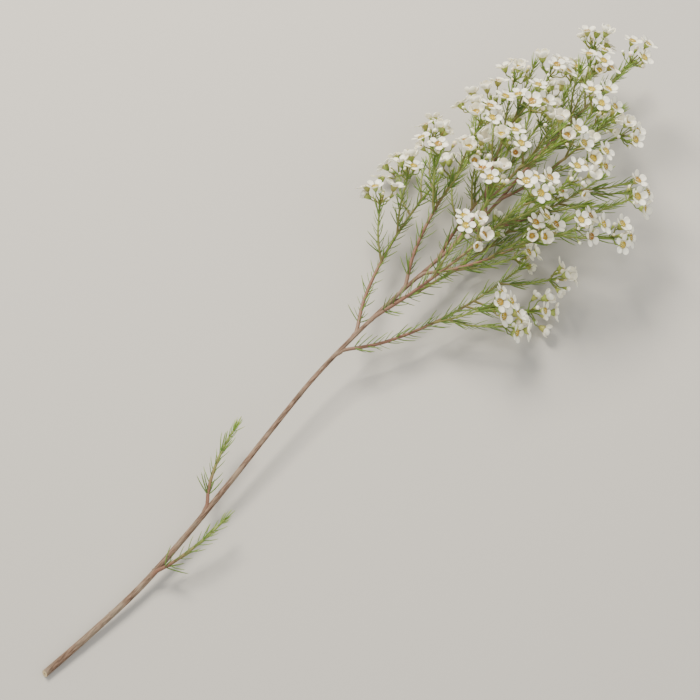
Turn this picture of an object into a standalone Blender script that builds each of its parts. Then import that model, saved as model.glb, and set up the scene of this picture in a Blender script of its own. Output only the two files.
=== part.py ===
# A cut stem of white waxflower, lying on a surface: woody stem, leafy sprays and flower clusters.
# Metres and degrees, +Z up. The stem lies along +Y, its cut end at -Y, on the plane Z = 0.

import itertools
import math
import random

import bpy
from mathutils import Matrix, Quaternion, Vector
from mathutils.bvhtree import BVHTree

# Woody stem: its centreline from the cut end to the foot of the top spray
stemPoints = (
    (0.000, -0.350, 0.0026),
    (0.007, -0.260, 0.0085),
    (0.002, -0.160, 0.0180),
    (-0.006, -0.060, 0.0270),
    (-0.003, 0.030, 0.0340),
    (0.004, 0.110, 0.0400),
    (0.002, 0.172, 0.0440),
)
stemRadii = (0.0028, 0.0012)
stemSides = 8
cutSlant = 30
seatGap = 0.0003  # between a piece and what carries it

# Side sprays, counted from the foot of the crown to its top
sprayCount = 12
sprayStartsY = (-0.030, 0.160)
sprayLengths = (0.158, 0.102)
sprayLengthSpread = (0.94, 1.06)
sprayRadii = (0.0015, 0.0008)
sprayAngles = (36, 5)  # from the stem, where a spray leaves it and at its tip
sprayAzimuth = 20  # round the stem, of the first spray
sprayTurn = 137.5  # round the stem, from one spray to the next
sprayFlattening = 0.58  # a lying crown is lower than it is wide
spraySteps = 6
leafySprays = (9,)  # bear no flowers
topSprayLength = 0.140
topSprayAzimuth = 70
topSprayAngles = (3, 12)
lowerShootStartsY = (-0.245, -0.185)
lowerShootAzimuths = (310, 205)
lowerShootLength = 0.062

# Twigs on the sprays
clusterCount = 43  # each at the end of a twig of its own
twigRounds = 4  # that many on the lower sprays, from foot to tip
leafyTwigs = 1  # on a spray that flowers
leafySprayTwigs = 4
twigReach = (0.30, 0.92)  # where on a spray its flowering twigs start
leafyTwigReach = (0.30, 0.85)
twigLengths = (0.020, 0.046)
twigRadii = (0.00085, 0.00075)
twigFootShare = 0.8  # of the radius of the spray where the twig leaves it
twigAngles = (30, 56)
twigBend = 0.5  # share of its angle that a twig keeps at its tip
twigFoot = 0.004  # of a twig lies in the spray that bears it
twigTries = 50
clusterSpacing = 0.029  # wanted between the middles of neighbouring clusters
clusterReach = 0.014  # from the end of a twig to the middle of its cluster
clusterCore = 0.007  # half the width of the room that a twig needs for its cluster
lowestCluster = 0.012
lowestTwig = 0.001

# Crown: its axis, and how much its outside and its top are favoured for flowers
crownHeight = 0.035
crownHeightFactor = 1.55
crownRadius = 0.12
outsideFavour = 0.12
topFavour = 0.04

# Flower clusters
headsPerCluster = 5
fourthBudShare = 0.3  # of the clusters; the fifth head is always a bud
peduncleLength = 0.005
peduncleRadii = (0.0008, 0.0013)
sideHeadsFrom = 0.6  # of the length of the cluster's axis
pedicelLengths = (0.0080, 0.0135)
pedicelRadius = 0.00045
pedicelFoot = 0.003  # of a stalk lies among the others of its cluster
middleTilts = (2, 14)
middleStalkFactor = 1.15
sideTilts = (40, 62)
azimuthSpread = 12
facingShares = (0.75, 0.80, 0.45)  # along the stalk, out of the crown, upwards
crownwards = 0.06  # how far heads look past the tip of the crown
headTries = 16
bloomTries = 11  # then a bud is tried
headTints = (1, 1, 0, 0)  # stalk and cup are green, petals white
cupLength = 0.0046
bloomRadii = (0.0079, 0.0092)
discShare = 0.26  # of the bloom's radius
petalOutline = ((-36, 0.55), (-19, 1.0), (19, 1.0))  # degrees, share of the radius
petalRises = (10, 14, 30, 56)  # how far the petals of the forms stand up
petalThickness = 0.0008
discDepth = 0.0004
budRadii = (0.0017, 0.0023)
budStalkFactor = 0.8
budCupShare = 0.75  # of the cup of a bloom
budWaist = 0.78
budRises = (0.75, 1.75)  # of the widest ring and the tip above the cup, in radii

# Needle leaves
leafLengths = (0.011, 0.019)
leafAngles = (30, 50)
leafSpread = 15
leafRadius = 0.00055
leafRootLength = 0.0011
leafFoot = 0.0025  # of a needle lies in its twig
leafTries = 4
closingAtTip = 0.45  # needles lie closer to the twig towards its tip
firstWhorl = 0.007
lastWhorl = 0.003
whorlSpacing = 0.033
whorlSpacingAtTip = 0.5
whorlSpread = (0.85, 1.15)
bendLength = 0.0015  # over which a bend in a twig is rounded

growthSeed = 11
clearance = 0.0006
supportHeight = 0.025  # only what is lower than this can touch the surface
levelError = 0.00001
levellingRounds = 4
up = Vector((0, 0, 1))


def between(pair, share):
    return pair[0] + (pair[1] - pair[0]) * share


# Points along a smooth curve through the given ones
def smoothPath(given, perSpan):
    given = [Vector(p) for p in given]
    ends = [2 * given[0] - given[1]] + given + [2 * given[-1] - given[-2]]
    path = []
    for i in range(1, len(ends) - 2):
        a, b, c, d = ends[i - 1 : i + 3]
        for k in range(perSpan):
            t = k / perSpan
            curve = 2 * b + (c - a) * t + (2 * a - 5 * b + 4 * c - d) * t**2
            path.append((curve + (3 * b - a - 3 * c + d) * t**3) / 2)
    path.append(given[-1])
    return path


# How far along the path each of its points is
def stationsOf(path):
    stations = [0]
    for a, b in zip(path, path[1:]):
        stations.append(stations[-1] + (b - a).length)
    return stations


def pathLength(path):
    return stationsOf(path)[-1]


# Point and direction at that distance along the path
def pointAt(path, distance):
    for a, b in zip(path, path[1:]):
        span = (b - a).length
        if distance <= span or b is path[-1]:
            return a + (b - a) * (distance / span), (b - a).normalized()
        distance -= span


def sidewaysOf(direction):
    return direction.cross(up).normalized() if abs(direction.z) < 0.9 else Vector((1, 0, 0))


def turned(direction, axis, angle):
    return Quaternion(axis, math.radians(angle)) @ direction


# A direction that leans away from axis by tilt, towards side turned by azimuth round axis
def tilted(axis, side, tilt, azimuth):
    tilt = math.radians(tilt)
    return (axis * math.cos(tilt) + turned(side, axis, azimuth) * math.sin(tilt)).normalized()


def ringPoints(centre, axis, side, radius, angles):
    side = (side - axis * side.dot(axis)).normalized() * radius
    third = axis.cross(side)
    angles = [math.radians(angle) for angle in angles]
    return [centre + side * math.cos(angle) + third * math.sin(angle) for angle in angles]


def evenAngles(count, first=0):
    return [first + 360 * k / count for k in range(count)]


# Surface that is put together ring by ring, each ring going round the same way
class Surface:
    def __init__(self):
        self.points, self.faces, self.tints = [], [], []

    def ring(self, points):
        self.points += points
        return list(range(len(self.points) - len(points), len(self.points)))

    def fan(self, ring, tint=0):
        for k in range(1, len(ring) - 1):
            self.faces.append((ring[0], ring[k], ring[k + 1]))
            self.tints.append(tint)

    # Triangles between two rings of any counts, the second of which may be a single tip
    def band(self, a, b, tint=0):
        i = j = 0
        while i < len(a) or (j < len(b) and len(b) > 1):
            if len(b) == 1 or j == len(b) or (i < len(a) and (i + 0.5) * len(b) < (j + 0.5) * len(a)):
                self.faces.append((a[i], a[(i + 1) % len(a)], b[j % len(b)]))
                i += 1
            else:
                self.faces.append((a[i % len(a)], b[(j + 1) % len(b)], b[j]))
                j += 1
            self.tints.append(tint)

    def grow(self, base, rings, tints):
        for points, tint in zip(rings, tints):
            following = self.ring(points)
            self.band(base, following, tint)
            base = following
        self.fan(base)


def closedShape(rings):
    surface = Surface()
    base = surface.ring(rings[0])
    surface.fan(base[::-1])
    surface.grow(base, rings[1:], [0] * len(rings))
    return surface


# Tapering tube along a path. With cutNormal its first end is cut to that plane. Each whorl is a
# distance and, for each side, the tip of a needle that rises from that side, or None.
def tube(path, radii, sides, side, cutNormal=None, whorls=()):
    stations = [(distance, None) for distance in stationsOf(path)]
    total = stations[-1][0]
    for distance, tips in whorls:
        stations += [(distance - leafRootLength / 2, tips), (distance + leafRootLength / 2, None)]
    surface = Surface()
    last = lastTips = None
    for distance, tips in sorted(stations, key=lambda station: station[0]):
        centre, _ = pointAt(path, distance)
        before, after = (pointAt(path, distance + shift)[0] for shift in (-bendLength, bendLength))
        ahead = (after - before).normalized()
        points = ringPoints(centre, ahead, side, between(radii, distance / total), evenAngles(sides))
        if last is None and cutNormal is not None:
            points = [p + ahead * ((centre - p).dot(cutNormal) / ahead.dot(cutNormal)) for p in points]
        ring = surface.ring(points)
        if last is None:
            surface.fan(ring[::-1])
        else:
            for k in range(sides):
                quad = [last[k], last[(k + 1) % sides], ring[(k + 1) % sides], ring[k]]
                if lastTips and lastTips[k]:
                    surface.band(quad, surface.ring([lastTips[k]]))
                else:
                    surface.fan(quad)
        last, lastTips = ring, tips
    surface.fan(last)
    return surface


# What has grown so far, so that new growth stays clear of it
class Space:
    def __init__(self):
        self.placed = []

    def add(self, shape, owner):
        points = shape.points
        low = [min(p[i] for p in points) for i in range(3)]
        high = [max(p[i] for p in points) for i in range(3)]
        self.placed.append((low, high, BVHTree.FromPolygons(points, shape.faces), owner))

    def isClear(self, shape, besides=""):
        points, faces = shape.points, shape.faces
        if min(p.z for p in points) < 0:
            return False
        normals = [Vector() for _ in points]
        for face in faces:
            a, b, c = (points[n] for n in face)
            normal = (b - a).cross(c - a).normalized()
            for n in face:
                normals[n] += normal
        points = [p + n.normalized() * clearance for p, n in zip(points, normals)]
        low = [min(p[i] for p in points) for i in range(3)]
        high = [max(p[i] for p in points) for i in range(3)]
        tree = None
        for otherLow, otherHigh, other, owner in self.placed:
            if owner == besides or any(low[i] > otherHigh[i] or high[i] < otherLow[i] for i in range(3)):
                continue
            tree = tree or BVHTree.FromPolygons(points, faces)
            if tree.overlap(other):
                return False
        return True


# Path that leaves the axis at one angle and bends to another, and stays above the lowest height
def growingPath(start, axis, azimuth, length, steps, angles, flattening, lowest):
    path = [start]
    for i in range(steps):
        step = tilted(axis, sidewaysOf(axis), between(angles, (i / steps) ** 0.7), azimuth)
        step.z *= flattening
        point = path[-1] + step.normalized() * length / steps
        point.z = max(point.z, lowest)
        path.append(point)
    return path


def growStem(space):
    path = smoothPath(stemPoints, 2)
    ahead = (path[1] - path[0]).normalized()
    side = turned(sidewaysOf(ahead), ahead, 180 / stemSides)
    shape = tube(path, stemRadii, stemSides, side, tilted(ahead, up, cutSlant, 180))
    space.add(shape, "main_stem")
    return {"name": "main_stem", "path": path, "shapes": [shape]}


def newTwig(space, name, path, radii, side, cutNormal=None):
    space.add(tube(path, radii, 4, side, cutNormal), name)
    twig = {"name": name, "path": path, "radii": radii, "side": side, "cut": cutNormal}
    return twig | {"whorls": [], "needles": []}


# One spray on the stem, seated on its surface at that y
def growSpray(space, stem, name, startY, azimuth, length, leafy):
    path = stem["path"]
    share = (startY - path[0].y) / (path[-1].y - path[0].y)
    point, ahead = pointAt(path, share * pathLength(path))
    outward = turned(sidewaysOf(ahead), ahead, azimuth)
    start = point + outward * (between(stemRadii, share) + seatGap)
    flattening, lowest = sprayFlattening, sprayRadii[0]
    line = growingPath(start, ahead, azimuth, length, spraySteps, sprayAngles, flattening, lowest)
    twig = newTwig(space, name, line, sprayRadii, outward.cross(ahead), outward)
    return {"name": name, "leafy": leafy, "twigs": [twig]}


def growSprays(space, chance, stem):
    sprays = []
    for k in range(sprayCount):
        share = k / (sprayCount - 1)
        length = between(sprayLengths, share) * chance.uniform(*sprayLengthSpread)
        name = f"leafy_spray_{k + 1:02d}"
        y, azimuth = between(sprayStartsY, share), sprayAzimuth + sprayTurn * k
        sprays.append(growSpray(space, stem, name, y, azimuth, length, k + 1 in leafySprays))
    end, ahead = pointAt(stem["path"], pathLength(stem["path"]))
    start, length, angles = end + ahead * seatGap, topSprayLength, topSprayAngles
    path = growingPath(start, ahead, topSprayAzimuth, length, spraySteps, angles, 1, 0)
    top = newTwig(space, "top_spray", path, (stemRadii[1], sprayRadii[1]), sidewaysOf(ahead))
    sprays.append({"name": "top_spray", "leafy": False, "twigs": [top]})
    return sprays


# The way out from the crown's axis at a point, stretched where the crown is low
def outOfCrown(point):
    return Vector((point.x, 0, (point.z - crownHeight) * crownHeightFactor))


# The best of many tries at a twig: clear of all that has grown, and far from the other clusters
def growTwig(space, chance, spray, name, reach, centres):
    line = spray["twigs"][0]["path"]
    best = None
    for _ in range(twigTries):
        share = chance.uniform(*reach)
        point, ahead = pointAt(line, share * pathLength(line))
        length = chance.uniform(*twigLengths)
        azimuth = chance.uniform(0, 360)
        angle = chance.uniform(*twigAngles)
        angles = (angle, angle * twigBend)
        path = growingPath(point, ahead, azimuth, length, 2, angles, 1, lowestTwig)
        end, heading = pointAt(path, length)
        centre = end + heading * clusterReach
        if centre.z < lowestCluster:
            continue
        spread = min([(centre - other).length for other in centres] + [clusterSpacing])
        outside = min(outOfCrown(centre).length, crownRadius)
        score = spread + outsideFavour * outside + topFavour * centre.z
        if best and score <= best[0]:
            continue
        core = tube([centre - up * clusterCore, centre + up * clusterCore], [clusterCore] * 2, 5, heading)
        radii = (min(twigRadii[0], between(sprayRadii, share) * twigFootShare), twigRadii[1])
        side = sidewaysOf(ahead)
        free = tube([pointAt(path, twigFoot)[0]] + path[1:], radii, 4, side)
        if space.isClear(free) and space.isClear(core):
            best = (score, path, radii, side, centre)
    if best:
        _, path, radii, side, centre = best
        spray["twigs"].append(newTwig(space, name, path, radii, side))
        centres.append(centre)
        return path


def growTwigs(space, chance, sprays):
    centres, flowering = [], []
    for turn in range(twigRounds):
        reach = [between(twigReach, (turn + end) / twigRounds) for end in (0, 1)]
        for spray in sprays:
            if spray["leafy"] or len(flowering) == clusterCount:
                continue
            name = f"{spray['name']}_twig_{turn}"
            path = growTwig(space, chance, spray, name, reach, centres)
            if path:
                flowering.append((path, name))
    for spray in sprays:
        for turn in range(leafySprayTwigs if spray["leafy"] else leafyTwigs):
            growTwig(space, chance, spray, f"{spray['name']}_leafy_{turn}", leafyTwigReach, [])
    return flowering


# Rings of a bloom from the foot of its green cup: cup, petals, and the middle of the disc
def bloomRings(foot, facing, side, radius, rise):
    disc = discShare * radius
    lift = math.radians(rise)
    rim = foot + facing * (cupLength + petalThickness)
    petals = []
    for turn in evenAngles(5):
        for angle, share in petalOutline:
            run = share * radius - disc
            edge = ringPoints(rim, facing, side, disc + run * math.cos(lift), [turn + angle])[0]
            petals.append(edge + facing * run * math.sin(lift))
    return [
        ringPoints(foot, facing, side, pedicelRadius, evenAngles(4)),
        ringPoints(foot + facing * cupLength, facing, side, disc, evenAngles(5, -36)),
        petals,
        [rim - facing * discDepth],
    ]


# Rings of a round bud in its cup
def budRings(foot, facing, side, radius):
    cup = foot + facing * cupLength * budCupShare
    return [
        ringPoints(foot, facing, side, pedicelRadius, evenAngles(4)),
        ringPoints(cup, facing, side, radius * budWaist, evenAngles(5)),
        ringPoints(cup + facing * radius * budRises[0], facing, side, radius, evenAngles(5)),
        [cup + facing * radius * budRises[1]],
    ]


# Head that grows clear of all others from four corners on its cluster's axis, or None
def growHead(space, chance, cluster, corners, number, isBud):
    root = sum(corners, Vector()) / 4
    side = corners[0] - root
    outward = (outOfCrown(root) + Vector((0, crownwards, 0))).normalized()
    for attempt in range(headTries):
        azimuth = 45 + number * 90 + chance.uniform(-azimuthSpread, azimuthSpread) * (1 + attempt / 3)
        tilt = chance.uniform(*(sideTilts if number else middleTilts)) + attempt
        direction = tilted(cluster["ahead"], cluster["side"], tilt, azimuth)
        ways = zip((direction, outward, up), facingShares)
        facing = sum((way * share for way, share in ways), Vector()).normalized()
        length = chance.uniform(*pedicelLengths) * (1 if number else middleStalkFactor)
        if isBud or attempt >= bloomTries:
            length *= budStalkFactor
            size, form = chance.uniform(*budRadii), None
            rings = budRings(root + direction * length, facing, side, size)
        else:
            size, form = chance.uniform(*bloomRadii), chance.choice(petalRises)
            rings = bloomRings(root + direction * length, facing, side, size, form)
        foot = root + direction * pedicelFoot
        free = closedShape([ringPoints(foot, direction, side, pedicelRadius, evenAngles(4))] + rings)
        if space.isClear(free, cluster["twig"]):
            space.add(free, "heads")
            return rings, (root, direction, length, facing, side, size, form)
    return None


# Short axis past the end of a twig, with one head on its tip and one on each of its four sides
def growCluster(space, chance, name, twigPath, twigName):
    end, ahead = pointAt(twigPath, pathLength(twigPath))
    root = end + ahead * seatGap
    side = turned(sidewaysOf(ahead), ahead, chance.uniform(0, 90))
    cluster = {"name": name, "twig": twigName, "ahead": ahead, "side": side, "heads": []}
    surface = Surface()
    levels = []
    for share in (0, sideHeadsFrom, 1):
        centre, radius = root + ahead * peduncleLength * share, between(peduncleRadii, share)
        levels.append(surface.ring(ringPoints(centre, ahead, side, radius, evenAngles(4))))
    surface.fan(levels[0][::-1], 1)
    surface.band(levels[0], levels[1], 1)
    buds = (3, 4) if chance.random() < fourthBudShare else (4,)
    for number in range(headsPerCluster):
        base = levels[2]
        if number:
            a, b = number % 4, (number + 1) % 4
            base = [levels[1][a], levels[1][b], levels[2][b], levels[2][a]]
        corners = [surface.points[n] for n in base]
        grown = growHead(space, chance, cluster, corners, number, number in buds)
        if grown:
            surface.grow(base, grown[0], headTints)
            cluster["heads"].append(grown[1])
        else:
            surface.fan(base, 1)
    space.add(surface, name)
    return cluster | {"shapes": [surface]}


# Opposite pairs of needles up a twig, set as whorls of four round its four sides
def growNeedles(space, chance, twig):
    path = twig["path"]
    stations = stationsOf(path)
    distance = firstWhorl
    while distance < stations[-1] - lastWhorl:
        if min(abs(distance - station) for station in stations) < leafRootLength:
            distance += leafRootLength
            continue
        point, ahead = pointAt(path, distance)
        share = distance / stations[-1]
        tips = []
        for k in range(4):
            for _ in range(leafTries):
                angle = chance.uniform(*leafAngles) * (1 - closingAtTip * share)
                length = chance.uniform(*leafLengths)
                azimuth = 45 + 90 * k + chance.uniform(-leafSpread, leafSpread)
                direction = tilted(ahead, twig["side"], angle, azimuth)
                tip = point + direction * length
                foot = point + direction * leafFoot
                free = closedShape([ringPoints(foot, direction, ahead, leafRadius, evenAngles(3)), [tip]])
                if space.isClear(free, twig["name"]):
                    space.add(free, twig["name"])
                    twig["needles"].append((point, direction, length))
                    tips.append(tip)
                    break
            else:
                tips.append(None)
        if any(tips):
            twig["whorls"].append((distance, tips))
        distance += whorlSpacing * between((1, whorlSpacingAtTip), share) * chance.uniform(*whorlSpread)


def growAll():
    chance = random.Random(growthSeed)
    space = Space()
    stem = growStem(space)
    sprays = growSprays(space, chance, stem)
    flowering = growTwigs(space, chance, sprays)
    for k, (startY, azimuth) in enumerate(zip(lowerShootStartsY, lowerShootAzimuths)):
        name = f"lower_shoot_{k + 1}"
        sprays.append(growSpray(space, stem, name, startY, azimuth, lowerShootLength, True))
    clusters = []
    for k, (path, twigName) in enumerate(flowering):
        clusters.append(growCluster(space, chance, f"flower_cluster_{k + 1:02d}", path, twigName))
    for spray in sprays:
        spray["shapes"] = []
        for twig in spray["twigs"]:
            growNeedles(space, chance, twig)
            shape = tube(twig["path"], twig["radii"], 4, twig["side"], twig["cut"], twig["whorls"])
            spray["shapes"].append(shape)
    return stem, sprays, clusters


def plainMaterial(name, colour, roughness):
    material = bpy.data.materials.new(name)
    material.use_nodes = True
    shader = material.node_tree.nodes["Principled BSDF"]
    shader.inputs["Base Color"].default_value = (*colour, 1)
    shader.inputs["Roughness"].default_value = roughness
    material.diffuse_color = (*colour, 1)
    return material


def meshObject(name, shape, materials):
    mesh = bpy.data.meshes.new(name)
    mesh.from_pydata(shape.points, [], shape.faces)
    mesh.polygons.foreach_set("material_index", shape.tints)
    for material in materials:
        mesh.materials.append(material)
    return bpy.data.objects.new(name, mesh)


# One body from shapes that all grow into the first
def fusedObject(name, shapes, materials):
    piece = meshObject(name, shapes[0], materials)
    bpy.context.scene.collection.objects.link(piece)
    if len(shapes) == 1:
        return piece
    repeats = bpy.data.collections.new("repeats")
    bpy.context.scene.collection.children.link(repeats)
    for shape in shapes[1:]:
        repeats.objects.link(meshObject("repeat", shape, materials))
    union = piece.modifiers.new("Union", "BOOLEAN")
    union.operation = "UNION"
    union.operand_type = "COLLECTION"
    union.collection = repeats
    union.solver = "EXACT"
    union.material_mode = "TRANSFER"
    fused = bpy.data.meshes.new_from_object(piece.evaluated_get(bpy.context.evaluated_depsgraph_get()))
    piece.modifiers.clear()
    piece.data = fused
    for repeat in list(repeats.objects):
        bpy.data.objects.remove(repeat)
    bpy.data.collections.remove(repeats)
    return piece


# Middle of the volume that the shapes hold
def weightCentre(shapes):
    volume, moment = 0, Vector()
    for shape in shapes:
        for face in shape.faces:
            a, b, c = (shape.points[n] for n in face)
            part = a.dot(b.cross(c))
            volume += part
            moment += part * (a + b + c) / 4
    return moment / volume


# True where the point lies over the triangle, seen from above
def isOver(point, triangle):
    a, b, c = triangle
    sides = ((q - p).cross(point - p).z for p, q in ((a, b), (b, c), (c, a)))
    return all(side > 0 for side in sides)


# Turn that levels the three low points round the weight
def levellingTurn(centre, lowPoints):
    for a, b, c in itertools.combinations(lowPoints, 3):
        normal = (b - a).cross(c - a).normalized()
        if normal.z < 0:
            b, c, normal = c, b, -normal
        if isOver(centre, (a, b, c)) and all((p - a).dot(normal) > -levelError for p in lowPoints):
            return normal.rotation_difference(up).to_matrix().to_4x4()


# Turn and shift that lay the stem on its low points, with the origin on the surface under the
# middle of its box
def restingPlace(shapes):
    centre = weightCentre(shapes)
    turn = Matrix()
    for _ in range(levellingRounds):
        lowPoints = [min((turn @ p for p in shape.points), key=lambda p: p.z) for shape in shapes]
        lowest = min(p.z for p in lowPoints)
        lowPoints = [p for p in lowPoints if p.z < lowest + supportHeight]
        turn = levellingTurn(turn @ centre, lowPoints) @ turn
    points = [turn @ p for shape in shapes for p in shape.points]
    low = [min(p[i] for p in points) for i in range(3)]
    high = [max(p[i] for p in points) for i in range(3)]
    return Matrix.Translation((-(low[0] + high[0]) / 2, -(low[1] + high[1]) / 2, -low[2])) @ turn


for leftover in list(bpy.data.objects):
    bpy.data.objects.remove(leftover)

bark = plainMaterial("bark", (0.19, 0.10, 0.05), 0.75)
leafGreen = plainMaterial("leaf_green", (0.10, 0.19, 0.04), 0.5)
petalWhite = plainMaterial("petal_white", (0.86, 0.86, 0.80), 0.4)
cupGreen = plainMaterial("cup_green", (0.22, 0.34, 0.07), 0.45)

stem, sprays, clusters = growAll()
pieces = [fusedObject(stem["name"], stem["shapes"], [bark])]
pieces += [fusedObject(spray["name"], spray["shapes"], [leafGreen]) for spray in sprays]
pieces += [fusedObject(cluster["name"], cluster["shapes"], [petalWhite, cupGreen]) for cluster in clusters]
place = restingPlace([shape for grown in [stem] + sprays + clusters for shape in grown["shapes"]])
for piece in pieces:
    piece.data.transform(place)
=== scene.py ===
# Looks of a cut stem of white waxflower that lies on a surface: waxy flowers and buds in clusters,
# needle-leaved shoots and a woody stem. Metres and degrees, +Z up, the cut end at -Y.

import itertools
import math
import random

import bmesh
import bpy
from mathutils import Matrix, Quaternion, Vector
from mathutils.bvhtree import BVHTree


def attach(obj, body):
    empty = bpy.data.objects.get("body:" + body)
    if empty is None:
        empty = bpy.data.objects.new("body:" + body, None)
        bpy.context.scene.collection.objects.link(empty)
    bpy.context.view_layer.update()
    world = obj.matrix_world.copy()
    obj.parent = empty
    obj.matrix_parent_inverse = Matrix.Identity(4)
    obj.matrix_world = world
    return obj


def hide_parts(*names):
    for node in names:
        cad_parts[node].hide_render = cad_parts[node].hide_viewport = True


# How the stem grows: the same rule, sizes and seed as the solids of the frame, so that every twig,
# cluster and head is where its node is
up = Vector((0, 0, 1))
growthRule = {
    "seatGap": 0.0003,  # between a piece and what carries it
    "bendLength": 0.0015,  # over which a bend in a twig is rounded
    "seed": 11,
    "clearance": 0.0006,
    "supportHeight": 0.025,  # only what is lower than this can touch the surface
    "levelError": 0.00001,
    "levellingRounds": 4,
}
stemRule = {
    "points": (
        (0.000, -0.350, 0.0026),
        (0.007, -0.260, 0.0085),
        (0.002, -0.160, 0.0180),
        (-0.006, -0.060, 0.0270),
        (-0.003, 0.030, 0.0340),
        (0.004, 0.110, 0.0400),
        (0.002, 0.172, 0.0440),
    ),
    "radii": (0.0028, 0.0012),
    "sides": 8,
    "cutSlant": 30,
}
sprayRule = {
    "count": 12,
    "startsY": (-0.030, 0.160),
    "lengths": (0.158, 0.102),
    "lengthSpread": (0.94, 1.06),
    "radii": (0.0015, 0.0008),
    "angles": (36, 5),  # from the stem, where a spray leaves it and at its tip
    "azimuth": 20,  # round the stem, of the first spray
    "turn": 137.5,  # round the stem, from one spray to the next
    "flattening": 0.58,  # a lying crown is lower than it is wide
    "steps": 6,
    "leafy": (9,),  # bear no flowers
    "topLength": 0.140,
    "topAzimuth": 70,
    "topAngles": (3, 12),
    "lowerStartsY": (-0.245, -0.185),
    "lowerAzimuths": (310, 205),
    "lowerLength": 0.062,
}
twigRule = {
    "flowering": 43,  # each at the end of a twig of its own
    "rounds": 4,  # that many on the lower sprays, from foot to tip
    "leafy": 1,  # on a spray that flowers
    "leafySpray": 4,
    "reach": (0.30, 0.92),  # where on a spray its flowering twigs start
    "leafyReach": (0.30, 0.85),
    "lengths": (0.020, 0.046),
    "radii": (0.00085, 0.00075),
    "footShare": 0.8,  # of the radius of the spray where the twig leaves it
    "angles": (30, 56),
    "bend": 0.5,  # share of its angle that a twig keeps at its tip
    "foot": 0.004,  # of a twig lies in the spray that bears it
    "tries": 50,
    "spacing": 0.029,  # wanted between the middles of neighbouring clusters
    "clusterReach": 0.014,  # from the end of a twig to the middle of its cluster
    "core": 0.007,  # half the width of the room that a twig needs for its cluster
    "lowestCluster": 0.012,
    "lowest": 0.001,
}
crownRule = {
    "height": 0.035,
    "heightFactor": 1.55,
    "radius": 0.12,
    "outsideFavour": 0.12,
    "topFavour": 0.04,
}
clusterRule = {
    "heads": 5,
    "fourthBudShare": 0.3,  # of the clusters; the fifth head is always a bud
    "axisLength": 0.005,
    "axisRadii": (0.0008, 0.0013),
    "sideHeadsFrom": 0.6,  # of the length of the cluster's axis
    "stalkLengths": (0.0080, 0.0135),
    "stalkRadius": 0.00045,
    "stalkFoot": 0.003,  # of a stalk lies among the others of its cluster
    "middleTilts": (2, 14),
    "middleStalk": 1.15,
    "sideTilts": (40, 62),
    "azimuthSpread": 12,
    "facing": (0.75, 0.80, 0.45),  # along the stalk, out of the crown, upwards
    "crownwards": 0.06,  # how far heads look past the tip of the crown
    "tries": 16,
    "bloomTries": 11,  # then a bud is tried
}
bloomRule = {
    "cupLength": 0.0046,
    "radii": (0.0079, 0.0092),
    "discShare": 0.26,  # of the bloom's radius
    "outline": ((-36, 0.55), (-19, 1.0), (19, 1.0)),  # degrees, share of the radius
    "rises": (10, 14, 30, 56),  # how far the petals of the forms stand up
    "thickness": 0.0008,
    "discDepth": 0.0004,
}
budRule = {
    "radii": (0.0017, 0.0023),
    "stalk": 0.8,
    "cupShare": 0.75,  # of the cup of a bloom
    "waist": 0.78,
    "rises": (0.75, 1.75),  # of the widest ring and the tip above the cup, in radii
}
leafRule = {
    "lengths": (0.011, 0.019),
    "angles": (30, 50),
    "spread": 15,
    "radius": 0.00055,
    "rootLength": 0.0011,
    "foot": 0.0025,  # of a needle lies in its twig
    "tries": 4,
    "closing": 0.45,  # needles lie closer to the twig towards its tip
    "first": 0.007,
    "last": 0.003,
    "spacing": 0.033,
    "tipSpacing": 0.5,
    "spacingSpread": (0.85, 1.15),
}


def between(pair, share):
    return pair[0] + (pair[1] - pair[0]) * share


# Points along a smooth curve through the given ones
def smoothPath(given, perSpan):
    given = [Vector(p) for p in given]
    ends = [2 * given[0] - given[1]] + given + [2 * given[-1] - given[-2]]
    path = []
    for i in range(1, len(ends) - 2):
        a, b, c, d = ends[i - 1 : i + 3]
        for k in range(perSpan):
            t = k / perSpan
            curve = 2 * b + (c - a) * t + (2 * a - 5 * b + 4 * c - d) * t**2
            path.append((curve + (3 * b - a - 3 * c + d) * t**3) / 2)
    path.append(given[-1])
    return path


# How far along the path each of its points is
def stationsOf(path):
    stations = [0]
    for a, b in zip(path, path[1:]):
        stations.append(stations[-1] + (b - a).length)
    return stations


def pathLength(path):
    return stationsOf(path)[-1]


# Point and direction at that distance along the path
def pointAt(path, distance):
    for a, b in zip(path, path[1:]):
        span = (b - a).length
        if distance <= span or b is path[-1]:
            return a + (b - a) * (distance / span), (b - a).normalized()
        distance -= span


def sidewaysOf(direction):
    return direction.cross(up).normalized() if abs(direction.z) < 0.9 else Vector((1, 0, 0))


def turned(direction, axis, angle):
    return Quaternion(axis, math.radians(angle)) @ direction


# A direction that leans away from axis by tilt, towards side turned by azimuth round axis
def tilted(axis, side, tilt, azimuth):
    tilt = math.radians(tilt)
    return (axis * math.cos(tilt) + turned(side, axis, azimuth) * math.sin(tilt)).normalized()


def ringPoints(centre, axis, side, radius, angles):
    side = (side - axis * side.dot(axis)).normalized() * radius
    third = axis.cross(side)
    angles = [math.radians(angle) for angle in angles]
    return [centre + side * math.cos(angle) + third * math.sin(angle) for angle in angles]


def evenAngles(count, first=0):
    return [first + 360 * k / count for k in range(count)]


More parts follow.
